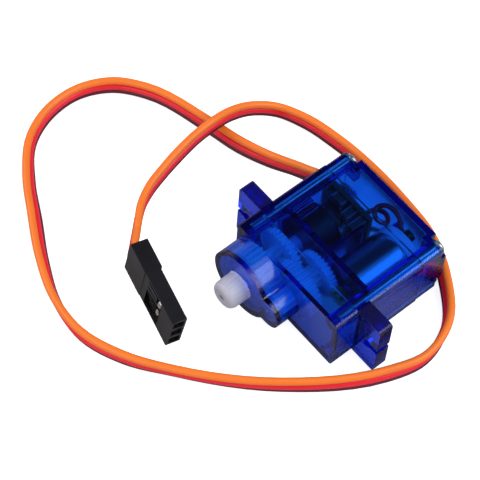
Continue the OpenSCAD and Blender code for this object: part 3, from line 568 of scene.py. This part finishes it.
def makeLeadEnds(s, wires):
    # The wires part and fan out to the contacts.
    turned, middle = plugFrame(plugPlace)
    axis, upright = turned.col[0], turned.col[2]
    shape = newShape()
    for k, wire in enumerate(wires):
        start, run = wire[-1] / mm, (wire[-1] - wire[-2]).normalized()
        stop = middle + (1 - k) * plugPlace["pitch"] * upright
        leave, reach = start + s["straight"] * run, stop - s["reach"] * axis
        route = [start - s["join"] * run, leave, (leave + reach) / 2, reach, stop, stop + s["entry"] * axis]
        addTube(shape, smoothRoute(route, s["steps"]), s["wire"] / 2 * mm, s["sides"], k)
    return meshPiece("leadEnds", shape, wireMats)


lead, leadPath, leadWires = makeLead(leadSettings)
leadEnds = makeLeadEnds(leadSettings, leadWires)
print("lead length", round(sum((b - a).length for a, b in zip(leadPath, leadPath[1:])), 5))
standFor(lead, "ribbon_cable")
standFor(leadEnds, "lead_ends")


# Pieces remade from their solids, with softened edges

remakeSettings = {
    "join": 0.001,  # mm, points nearer than this become one
    "level": 0.5,  # degrees, faces as level as this become one
    "inPlane": 0.002,  # mm
    "segments": 2,
    "flatWeight": 100,  # percent, how much large faces count in the shading
}


def mergedCopy(src, s):
    # The solid's loose triangles, joined into its flat faces.
    bm = bmesh.new()
    verts = [bm.verts.new(v.co) for v in src.vertices]
    for f in src.polygons:
        try:
            bm.faces.new([verts[i] for i in f.vertices])
        except ValueError:  # the same face twice
            pass
    bmesh.ops.remove_doubles(bm, verts=bm.verts, dist=s["join"] * mm)
    bmesh.ops.dissolve_limit(bm, angle_limit=math.radians(s["level"]), verts=bm.verts, edges=bm.edges)
    return bm


def nudged(bm, planes, near):
    # Moves the points in each plane across the shaft's line, and returns them.
    crisp = set()
    for v in bm.verts:
        for plane, shift in planes:
            if abs(v.co.y - plane * mm) < near * mm:
                v.co.y += shift * mm
                crisp.add(v)
                break
    return crisp


def remade(name, source, width, nudge=()):
    # Nudge lists planes: y in mm, and how far their points move. Edges in them stay crisp.
    s = remakeSettings
    src = nodes[source].data
    bm = mergedCopy(src, s)
    crisp = nudged(bm, nudge, s["inPlane"])
    bmesh.ops.recalc_face_normals(bm, faces=bm.faces)
    bevels = bm.edges.layers.float.new("bevel_weight_edge")
    for e in markEdges(bm):
        e[bevels] = 0 if all(v in crisp for v in e.verts) else 1
    mesh = meshFrom(bm, name)
    for m in src.materials:
        mesh.materials.append(m)
    obj = placed(name, mesh)
    edges = obj.modifiers.new("edges", "BEVEL")
    edges.width = width * mm
    edges.segments = s["segments"]
    edges.limit_method = "WEIGHT"
    edges.miter_outer = "MITER_ARC"
    flats = obj.modifiers.new("flats", "WEIGHTED_NORMAL")
    flats.weight = s["flatWeight"]
    flats.keep_sharp = True
    return standFor(keepResult(obj), source)


caseSettings = {
    "edge": 0.1,  # mm, radius of the moulded edges
    "gap": 0.006,  # mm, opening left at each joint of the case
    "partHigh": -3.05,  # mm, y of the joint behind the gearbox cover
    "partLow": 10.05,
    "deckUnder": 1.05,
    "motorRests": 11.75,
}


def makeCase(s):
    slot, edge, gap = "clear_blue_plastic", s["edge"], s["gap"]
    remade("gearboxCover", "top_cover", edge, [(s["partHigh"], -gap)])
    remade("middleShell", "middle_case", edge,
           [(s["partHigh"], gap), (s["partLow"], -gap), (s["deckUnder"], -gap)])
    remade("bottomCover", "bottom_cover", edge, [(s["partLow"], gap), (s["motorRests"], gap)])


makeCase(caseSettings)
print("case made")

softened = {  # the node that each piece remakes, and its edges' width in mm
    "outputWheel": ("output_gear", 0.05),
    "thirdWheel": ("third_gear", 0.04),
    "secondWheel": ("second_gear", 0.04),
    "firstWheel": ("first_gear", 0.03),
    "motorPinion": ("motor_pinion", 0.02),
    "motorCan": ("motor_can", 0.25),
    "motorEndCap": ("motor_end_cap", 0.08),
    "potHousing": ("pot_housing", 0.12),
    "mainBoard": ("circuit_board", 0.04),
}
for name, (source, width) in softened.items():
    remade(name, source, width)
print("inner pieces softened")

connector = remade("connectorShell", "connector_housing", 0.12)
contacts = remade("plugContacts", "connector_contacts", 0.05)

tipSettings = {
    "along": 10.35,  # mm from the connector's end at the wires
    "depths": (-1.05, -1.0, -0.6),  # across it, from its middle, top one first
    "size": (0.48, 0.4, 0.85),  # half its length, thickness and height
    "fullness": 0.8,  # 1 is an egg, less is nearer a block
    "facets": (24, 14),
}


def makeTips(s):
    # The rounded end of each contact, seen in its window.
    turned, middle = plugFrame(plugPlace)
    around, high = s["facets"]
    bm = bmesh.new()
    for k, deep in enumerate(s["depths"]):
        ball = bmesh.ops.create_uvsphere(bm, u_segments=around, v_segments=high, radius=1)["verts"]
        for v in ball:
            x, y, z = (math.copysign(abs(c) ** s["fullness"], c) * r for c, r in zip(v.co, s["size"]))
            spot = Vector((s["along"] + x, deep + y, (1 - k) * plugPlace["pitch"] + z))
            v.co = (middle + turned @ spot) * mm
    mesh = meshFrom(bm, "contactTips")
    mesh.materials.append(materials["tinned_metal"])
    finishMesh(mesh)
    tips = placed("contactTips", mesh)
    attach(tips, "housing")
    return tips


tips = makeTips(tipSettings)


# Wires inside the case, as smooth tubes on the lines of their solids. Points are in mm, in the
# standing frame: along the case, across it, and up from its bottom face.

tipLine = -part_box("output_gear")[0][1] / mm
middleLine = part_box("middle_case")[1][2] / mm / 2


def laid(x, y, z):
    return (x, tipLine - z, middleLine + y)


wireShape = {"steps": 4, "sides": 14}
innerWires = {
    "motorWireRed": {
        "source": "motor_wire_red", "slot": "cable_red", "width": 0.8,
        "points": [(-1.9, 2.4, 5.3), (-1.9, 2.4, 4.7), (-1.7, 2.7, 3.6), (-1, 2.9, 2.8), (0.1, 3.1, 2.5),
                   (1.1, 3.3, 2.9), (1.7, 3.5, 3.7), (1.1, 3.7, 4.4), (0.2, 3.9, 4.6), (-0.7, 4.1, 4.1),
                   (-1, 4.3, 3.2), (-0.5, 4.4, 2.3), (0.4, 4.4, 1.8), (1.6, 4.3, 1.7), (2.8, 4, 2),
                   (3.6, 3.7, 2.6), (4.4, 3.4, 2.8)],
    },
    "motorWireBlack": {
        "source": "motor_wire_black", "slot": "black_plastic", "width": 0.8,
        "points": [(-1.9, -2.4, 5.3), (-1.9, -2.4, 4.7), (-1.4, -2.8, 3.2), (-0.2, -3.4, 2.2),
                   (1.4, -3.8, 1.8), (2.8, -3.8, 2.1), (3.6, -3.6, 2.6), (4.4, -3.4, 2.8)],
    },
}
leadTails = {
    "width": 1.14,
    "rows": (1.25, 0, -1.25),  # across the case, in the order of the lead's wires
    "line": [(-8.5, 4.4), (-7.8, 4.4), (-7.3, 4.6), (-7, 5), (-7, 5.3)],  # along it and up
}


def addWire(shape, points, width, slot, upright):
    path = smoothRoute([laid(*p) for p in points], wireShape["steps"])
    addTube(shape, path, width / 2 * mm, wireShape["sides"], slot, upright=upright)


def makeInnerWires():
    for name, s in innerWires.items():
        shape = newShape()
        addWire(shape, s["points"], s["width"], 0, Vector((0, 1, 0)))
        standFor(meshPiece(name, shape, [materials[s["slot"]]]), s["source"])


def makeLeadTails(s):
    shape = newShape()
    for k, row in enumerate(s["rows"]):
        addWire(shape, [(x, row, z) for x, z in s["line"]], s["width"], k, up)
    standFor(meshPiece("leadTails", shape, wireMats), "lead_tails")


makeInnerWires()
makeLeadTails(leadTails)
print("inner wires made")


# Geometry Nodes trees for what repeats

geometryOnly = [("Geometry", "Geometry")]
downwards = (-math.pi / 2, 0, 0)  # from Z to the case's bottom


def onPoints(tree, points, shape, **more):
    spread = add(tree, "GeometryNodeInstanceOnPoints", Points=points, Instance=shape, **more)
    return spread.outputs["Instances"]


def moved(tree, shape, **more):
    return add(tree, "GeometryNodeTransform", Geometry=shape, **more).outputs["Geometry"]


def coated(tree, shape, material):
    # The shape as real geometry, in its material.
    real = add(tree, "GeometryNodeRealizeInstances", Geometry=shape).outputs["Geometry"]
    return add(tree, "GeometryNodeSetMaterial", Geometry=real, Material=material).outputs["Geometry"]


def joined(tree, shapes):
    n = add(tree, "GeometryNodeJoinGeometry")
    for shape in shapes:
        fill(n.inputs[0], shape)
    return n.outputs[0]


def seedMesh(name, points, edges=(), sizes=None):
    mesh = bpy.data.meshes.new(name)
    mesh.from_pydata([tuple(Vector(p) * mm) for p in points], edges, [])
    if sizes:
        data = mesh.attributes.new("size", "FLOAT_VECTOR", "POINT").data
        for item, size in zip(data, sizes):
            item.vector = Vector(size) * mm
    return mesh


softSettings = {
    "segments": 2,
    "angle": 40,  # degrees, edges sharper than this are softened
}


def grown(name, seed, tree, values, soften=0):
    # Runs a tree on a seed and keeps the result as a plain mesh.
    obj = placed(name, seed)
    build = obj.modifiers.new("build", "NODES")
    build.node_group = tree
    for item in tree.interface.items_tree:
        if item.in_out == "INPUT" and item.name in values:
            build[item.identifier] = values[item.name]
    if soften:
        edges = obj.modifiers.new("edges", "BEVEL")
        edges.width = soften * mm
        edges.segments = softSettings["segments"]
        edges.limit_method = "ANGLE"
        edges.angle_limit = math.radians(softSettings["angle"])
    keepResult(obj)
    finishMesh(obj.data)
    return obj


screwSettings = {
    "facets": 32,
    "headWidth": 2.5,  # mm
    "headHeight": 0.9,
    "crown": [(0.72, 0), (0.86, 0.04), (0.95, 0.13), (1, 0.3)],  # shares of the head's radius, and mm down
    "skirt": [(1, 0.08), (0.96, 0)],  # the same, and mm up from its underside
    "neck": (0.12, 0.15),  # mm, how far the underside runs out and down round the core
    "core": 1.15,
    "tip": [(1, 1.2), (0.5, 0.2)],  # shares of the core's radius, and mm up from the point
    "length": 20.5,
    "crest": 1.35,
    "turnHeight": 0.5,
    "turnSteps": 20,
    "threadStart": 13.5,  # from the head's top
    "threadHalf": 0.12,  # half the thread's height at its foot
    "threadFoot": 0.05,  # mm inside the core
    "threadFade": 0.03,  # mm inside the core where the crest starts and ends
    "slotLength": 1.5,
    "slotWidth": 0.35,
    "slotDepth": 0.45,
    "slotTaper": 0.6,  # share of its size at the bottom
    "slotAbove": 0.4,
    "spacing": (19.8, 8.8),
    "headTop": 0.35,  # in from the bottom face
}


def ringAt(bm, radius, z, sides):
    # One ring of a turned shape, or its end on the axis.
    if radius == 0:
        return [bm.verts.new((0, 0, z * mm))]
    return [bm.verts.new((radius * mm * math.cos(a), radius * mm * math.sin(a), z * mm))
            for a in (2 * math.pi * k / sides for k in range(sides))]


def lathe(bm, profile, sides):
    # Closed turned shape round Z; the profile starts and ends on the axis.
    rings = [ringAt(bm, r, z, sides) for r, z in profile]
    for low, high in zip(rings, rings[1:]):
        for k in range(sides):
            n = (k + 1) % sides
            if len(low) == 1:
                bm.faces.new((low[0], high[n], high[k]))
            elif len(high) == 1:
                bm.faces.new((low[k], low[n], high[0]))
            else:
                bm.faces.new((low[k], low[n], high[n], high[k]))


def screwBlank(s):
    # Head and core, turned in one piece, with the head's top at the origin.
    r, h, c, end = s["headWidth"] / 2, s["headHeight"], s["core"] / 2, -s["length"]
    out, down = s["neck"]
    profile = [(0, 0)] + [(r * share, -deep) for share, deep in s["crown"]]
    profile += [(r * share, -h + rise) for share, rise in s["skirt"]]
    profile += [(c + out, -h), (c, -h - down)]
    profile += [(c * share, end + rise) for share, rise in s["tip"]] + [(0, end)]
    bm = bmesh.new()
    lathe(bm, profile, s["facets"])
    bmesh.ops.recalc_face_normals(bm, faces=bm.faces)
    return placed("screwMaster", meshFrom(bm, "screwMaster"))


def crossCutter(s):
    # Two tapering bars, crossed over the head.
    bm = bmesh.new()
    for turn in (45, 135):
        bar = bmesh.ops.create_cube(bm, size=1)["verts"]
        for v in bar:
            deep = v.co.z < 0
            share = s["slotTaper"] if deep else 1
            v.co = Vector((v.co.x * s["slotLength"] * share, v.co.y * s["slotWidth"] * share,
                           -s["slotDepth"] if deep else s["slotAbove"])) * mm
        bmesh.ops.rotate(bm, verts=bar, matrix=Matrix.Rotation(math.radians(turn), 3, "Z"))
    return placed("crossSlot", meshFrom(bm, "crossSlot"))


def addThread(bm, s):
    # A three-sided coil along the lower core, its crest sinking in at both ends.
    core, crest, steps = s["core"] / 2, s["crest"] / 2, s["turnSteps"]
    foot, sunk = core - s["threadFoot"], core - s["threadFade"]
    turns = (s["length"] - s["threadStart"] - s["tip"][0][1]) / s["turnHeight"]
    count = int(turns * steps)
    rings = []
    for i in range(count + 1):
        a, z = 2 * math.pi * i / steps, -s["threadStart"] - i / steps * s["turnHeight"]
        out = sunk + (crest - sunk) * min(1, i / steps, (count - i) / steps)
        rings.append([bm.verts.new((q * mm * math.cos(a), q * mm * math.sin(a), (z + dz) * mm))
                      for q, dz in ((foot, s["threadHalf"]), (out, 0), (foot, -s["threadHalf"]))])
    for low, high in zip(rings, rings[1:]):
        for k in range(3):
            n = (k + 1) % 3
            bm.faces.new((low[k], high[k], high[n], low[n]))
    bm.faces.new(rings[0])
    bm.faces.new(list(reversed(rings[-1])))


def makeScrewMaster(s):
    # One self-tapping screw, its tip downwards.
    master, cutter = screwBlank(s), crossCutter(s)
    carve = master.modifiers.new("slot", "BOOLEAN")
    carve.object = cutter
    carve.solver = "EXACT"
    carve.use_self = True
    keepResult(master)
    bpy.data.objects.remove(cutter)
    bm = bmesh.new()
    bm.from_mesh(master.data)
    addThread(bm, s)
    bmesh.ops.recalc_face_normals(bm, faces=bm.faces)
    bm.to_mesh(master.data)
    bm.free()
    return master


def screwTree():
    # A master screw, laid along Y at the four corners of a rectangle.
    tree, given, end = newTree("GeometryNodeTree", "caseScrews", geometryOnly + [
        ("Screw", "Object"), ("Spacing X", "Float", 0.0198), ("Spacing Z", "Float", 0.0088),
        ("Middle", "Vector", (0, 0, 0)), ("Metal", "Material")], geometryOnly)
    grid = add(tree, "GeometryNodeMeshGrid", Vertices_X=2, Vertices_Y=2, Size_X=given["Spacing X"],
               Size_Y=given["Spacing Z"])
    corners = moved(tree, grid.outputs["Mesh"], Rotation=downwards, Translation=given["Middle"])
    screw = add(tree, "GeometryNodeObjectInfo", Object=given["Screw"]).outputs["Geometry"]
    screws = onPoints(tree, corners, screw, Rotation=downwards)
    feed(end, Geometry=coated(tree, screws, given["Metal"]))
    return tree


def makeScrews(s):
    master = makeScrewMaster(s)
    middle = Vector(laid(0, 0, s["headTop"])) * mm
    screws = grown("caseScrews", bpy.data.meshes.new("screwSeed"), screwTree(), {
        "Screw": master, "Spacing X": s["spacing"][0] * mm, "Spacing Z": s["spacing"][1] * mm,
        "Middle": middle[:], "Metal": materials["screw_steel"]})
    bpy.data.objects.remove(master)
    standFor(screws, "case_screws")


makeScrews(screwSettings)
print("screws made")


boardSettings = {
    "top": 6.1,  # mm, height of the board's upper face
    "under": 5.3,
    "middle": -5.0,
    "halfWidth": 4.6,
    "endShare": 0.18,  # part of a component's length that each metal end takes
    "slim": 0.96,  # width and height of its body, as shares of its ends'
    "soft": 0.05,
    "parts": [  # from the board's middle, from its edge, length, width, height
        (-3.3, 1.6, 1, 0.6, 0.5), (-0.9, 1.1, 2.6, 1.4, 1.3), (1.9, 1.1, 1.6, 1.2, 2.2),
        (4.1, 1.3, 1.4, 1.6, 2.8)],
}
chipSettings = {
    "middle": (-6.2, 0, 6.7),
    "size": (3.2, 4, 1),
    "soft": 0.03,
    "legs": (-1.5, -0.5, 0.5, 1.5),
    "legWidth": 0.35,
    "legThick": 0.12,
    "legTop": [(-0.05, 0), (0.18, 0), (0.28, -0.1)],  # mm out from the body, and up from its middle
    "legFoot": [(0.3, 0.06), (0.34, 0), (0.5, 0)],  # mm out from it, and up from where it lies on the board
}
solderSettings = {
    "facets": 20,
    "foot": 0.5,  # mm, radius on the board
    "neck": 0.3,
    "height": 0.35,
    "joints": [(-2.6, -2), (-2.6, 0), (-2.6, 2), (-1.9, 2.4), (-1.9, -2.4), (-7, 1.25), (-7, 0), (-7, -1.25)],
}


def componentTree():
    # Blocks with a metal end at either side, one on each seed point, stretched to its size.
    tree, given, end = newTree("GeometryNodeTree", "boardComponents", geometryOnly + [
        ("Body Share", "Float", 0.64), ("End Share", "Float", 0.18), ("End Shift", "Float", 0.41),
        ("Slim", "Float", 0.96), ("Body", "Material"), ("Ends", "Material")], geometryOnly)
    size = add(tree, "GeometryNodeInputNamedAttribute", data_type="FLOAT_VECTOR", Name="size")

    def block(length, across):
        shape = add(tree, "ShaderNodeCombineXYZ", X=length, Y=across, Z=across).outputs[0]
        return add(tree, "GeometryNodeMeshCube", Size=shape).outputs["Mesh"]

    def toSide(shape, side):
        shift = add(tree, "ShaderNodeVectorMath", operation="SCALE", Scale=given["End Shift"])
        fill(shift.inputs[0], (side, 0, 0))
        return moved(tree, shape, Translation=shift.outputs[0])

    body, cap = block(given["Body Share"], given["Slim"]), block(given["End Share"], 1.0)
    ends = joined(tree, [toSide(cap, side) for side in (-1, 1)])
    made = []
    for shape, finish in ((body, "Body"), (ends, "Ends")):
        spread = onPoints(tree, given["Geometry"], shape, Scale=size.outputs["Attribute"])
        made.append(coated(tree, spread, given[finish]))
    feed(end, Geometry=joined(tree, made))
    return tree


def chipTree():
    # A block, and a bent leg along every line of the seed.
    tree, given, end = newTree("GeometryNodeTree", "controllerChip", geometryOnly + [
        ("Size", "Vector", (1, 1, 1)), ("Middle", "Vector", (0, 0, 0)), ("Leg Width", "Float", 0.00035),
        ("Leg Thickness", "Float", 0.00012), ("Body", "Material"), ("Legs", "Material")], geometryOnly)
    lines = add(tree, "GeometryNodeMeshToCurve", Mesh=given["Geometry"]).outputs["Curve"]
    section = add(tree, "GeometryNodeCurvePrimitiveQuadrilateral", Width=given["Leg Width"],
                  Height=given["Leg Thickness"]).outputs["Curve"]
    legs = add(tree, "GeometryNodeCurveToMesh", Curve=lines, Profile_Curve=section, Fill_Caps=True)
    cube = add(tree, "GeometryNodeMeshCube", Size=given["Size"]).outputs["Mesh"]
    body = moved(tree, cube, Translation=given["Middle"])
    legs = coated(tree, legs.outputs["Mesh"], given["Legs"])
    feed(end, Geometry=joined(tree, [legs, coated(tree, body, given["Body"])]))
    return tree


def solderTree(facets):
    # A small cone of solder on every seed point, standing off the board's underside.
    tree, given, end = newTree("GeometryNodeTree", "solderJoints", geometryOnly + [
        ("Foot", "Float", 0.0005), ("Neck", "Float", 0.0003), ("Height", "Float", 0.00035),
        ("Metal", "Material")], geometryOnly)
    cone = add(tree, "GeometryNodeMeshCone", Vertices=facets, Radius_Bottom=given["Foot"],
               Radius_Top=given["Neck"], Depth=given["Height"])
    joints = onPoints(tree, given["Geometry"], cone.outputs["Mesh"], Rotation=downwards)
    feed(end, Geometry=coated(tree, joints, given["Metal"]))
    return tree


def makeComponents(s):
    points, sizes = [], []
    for side in (-1, 1):
        for along, inset, length, width, height in s["parts"]:
            points.append(laid(s["middle"] + along, side * (s["halfWidth"] - inset), s["top"] + height / 2))
            sizes.append((length, height, width))
    share = s["endShare"]
    parts = grown("boardComponents", seedMesh("componentSeed", points, sizes=sizes), componentTree(), {
        "Body Share": 1 - 2 * share, "End Share": share, "End Shift": (1 - share) / 2, "Slim": s["slim"],
        "Body": materials["componentBrown"], "Ends": materials["core_steel"]}, s["soft"])
    standFor(parts, "board_parts")


def makeChip(s, boardTop):
    x, y, z = s["middle"]
    length, width, height = s["size"]
    low = boardTop - z + s["legThick"] / 2
    line = s["legTop"] + [(out, low + rise) for out, rise in s["legFoot"]]
    points, edges = [], []
    for side in (-1, 1):
        for k in s["legs"]:
            first = len(points)
            points += [laid(x + side * (length / 2 + out), y + k, z + rise) for out, rise in line]
            edges += [(first + i, first + i + 1) for i in range(len(line) - 1)]
    chip = grown("controllerChip", seedMesh("legSeed", points, edges), chipTree(), {
        "Size": (length * mm, height * mm, width * mm), "Middle": (Vector(laid(x, y, z)) * mm)[:],
        "Leg Width": s["legWidth"] * mm, "Leg Thickness": s["legThick"] * mm,
        "Body": materials["black_plastic"], "Legs": materials["tinned_metal"]}, s["soft"])
    standFor(chip, "controller_chip")


def makeSolder(s, boardUnder):
    seed = seedMesh("solderSeed", [laid(x, y, boardUnder) for x, y in s["joints"]])
    joints = grown("solderJoints", seed, solderTree(s["facets"]), {
        "Foot": s["foot"] * mm, "Neck": s["neck"] * mm, "Height": s["height"] * mm,
        "Metal": materials["tinned_metal"]})
    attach(joints, "housing")


makeComponents(boardSettings)
makeChip(chipSettings, boardSettings["top"])
makeSolder(solderSettings, boardSettings["under"])
print("board dressed")


# Floor, world and lamps

stageSettings = {
    "floorSide": 3.0,
    "floorDrop": 0.0001,  # m under the object
    "floorColor": 0.8,
    "floorRoughness": 0.8,
    "floorGloss": 0.1,
    "glowSeen": 0.75,  # added where the floor is seen
    # This and the next line paint a shadow on the floor seen through the plastic, darker towards -Y.
    "paintedShadowPlaces": (-12, 12),  # mm along Y, between which the next two lie
    "paintedShadowThrough": (0.05, 0.85),  # the same where it is seen through the plastic; low values are painted shade
    "glossShare": 0.45,  # how much of the floor a reflection shows; the rest is painted shade
    "worldSoft": 0.35,  # scattered light from all round
    "worldAbove": 0.6,  # more of it from overhead
    "worldLow": 0.9,  # in reflections, near the floor
    "worldHigh": 0.05,  # and overhead
    "worldFade": (0.05, 0.75),  # heights, from 0 to 1, between which reflections turn dark
    "aim": (0, 0, 0.005),  # m, where the lamps point
    "lamps": [  # direction, distance and size in m, power in W
        ((0.559, 0.391, 0.731), 0.5, 0.36, 1.35),
        ((-0.62, -0.42, 0.66), 0.6, 0.4, 1.1),
        ((0.15, -0.8, 0.58), 0.6, 0.35, 0.75),
        ((0.12, 0.37, 0.92), 0.5, 0.16, 0.08),
    ],
}


def makeFloor(s):
    half, z, color = s["floorSide"] / 2, -s["floorDrop"], s["floorColor"]
    mesh = bpy.data.meshes.new("floor")
    corners = [(-half, -half, z), (half, -half, z), (half, half, z), (-half, half, z)]
    mesh.from_pydata(corners, [], [(0, 1, 2, 3)])
    mat, tree, surface, out = newMaterial("paleFloor", (color,) * 3)
    path = add(tree, "ShaderNodeLightPath").outputs
    # Darker in reflections: painted shade on the floor.
    taken = mathNode(tree, "MULTIPLY", path["Is Glossy Ray"], color * (1 - s["glossShare"]))
    feed(surface, Base_Color=mathNode(tree, "SUBTRACT", color, taken), Roughness=s["floorRoughness"],
         Specular_IOR_Level=s["floorGloss"])
    seen = mathNode(tree, "MULTIPLY", path["Is Camera Ray"], s["glowSeen"])
    # Seen through the plastic, the glow fades towards -Y: a painted shadow.
    inside = alongY(tree, s["paintedShadowPlaces"], s["paintedShadowThrough"])
    through = mathNode(tree, "MULTIPLY", path["Is Transmission Ray"], inside)
    glow = add(tree, "ShaderNodeEmission", Strength=mathNode(tree, "ADD", seen, through))
    both = add(tree, "ShaderNodeAddShader")
    fill(both.inputs[0], surface.outputs[0])
    fill(both.inputs[1], glow.outputs[0])
    feed(out, Surface=both.outputs[0])
    mesh.materials.append(mat)
    placed("floor", mesh)


def makeWorld(s):
    # White where it is seen, soft and even for scattered light, and dark overhead in reflections.
    world = bpy.data.worlds.new("studio")
    world.use_nodes = True
    tree = world.node_tree
    tree.nodes.clear()
    way = add(tree, "ShaderNodeTexCoord").outputs["Generated"]
    height = add(tree, "ShaderNodeSeparateXYZ", Vector=way).outputs["Z"]
    low, high = s["worldFade"]
    level = add(tree, "ShaderNodeMapRange", interpolation_type="SMOOTHSTEP", Value=height, From_Min=low,
                From_Max=high, To_Min=s["worldLow"], To_Max=s["worldHigh"])
    path = add(tree, "ShaderNodeLightPath").outputs
    mirrored = mathNode(tree, "ADD", path["Is Glossy Ray"], path["Is Transmission Ray"], True)
    mirrored = mathNode(tree, "MULTIPLY", level.outputs["Result"], mirrored)
    above = mathNode(tree, "MAXIMUM", height, 0.0)
    above = mathNode(tree, "MULTIPLY", mathNode(tree, "MULTIPLY", above, above), s["worldAbove"])
    soft = mathNode(tree, "MULTIPLY", path["Is Diffuse Ray"], mathNode(tree, "ADD", above, s["worldSoft"]))
    total = mathNode(tree, "ADD", mathNode(tree, "MAXIMUM", mirrored, soft), path["Is Camera Ray"])
    back = add(tree, "ShaderNodeBackground", Strength=total)
    add(tree, "ShaderNodeOutputWorld", Surface=back.outputs[0])
    bpy.context.scene.world = world


def makeLamps(s):
    for i, (way, distance, size, power) in enumerate(s["lamps"]):
        data = bpy.data.lights.new(f"softbox{i}", "AREA")
        data.shape = "SQUARE"
        data.size = size
        data.energy = power
        lamp = placed(f"softbox{i}", data)
        lamp.location = Vector(way) * distance
        lamp.rotation_euler = (Vector(s["aim"]) - lamp.location).to_track_quat("-Z", "Y").to_euler()


makeFloor(stageSettings)
makeWorld(stageSettings)
makeLamps(stageSettings)
bpy.context.scene.view_settings.view_transform = "Standard"
print("stage set")

bpy.context.view_layer.update()
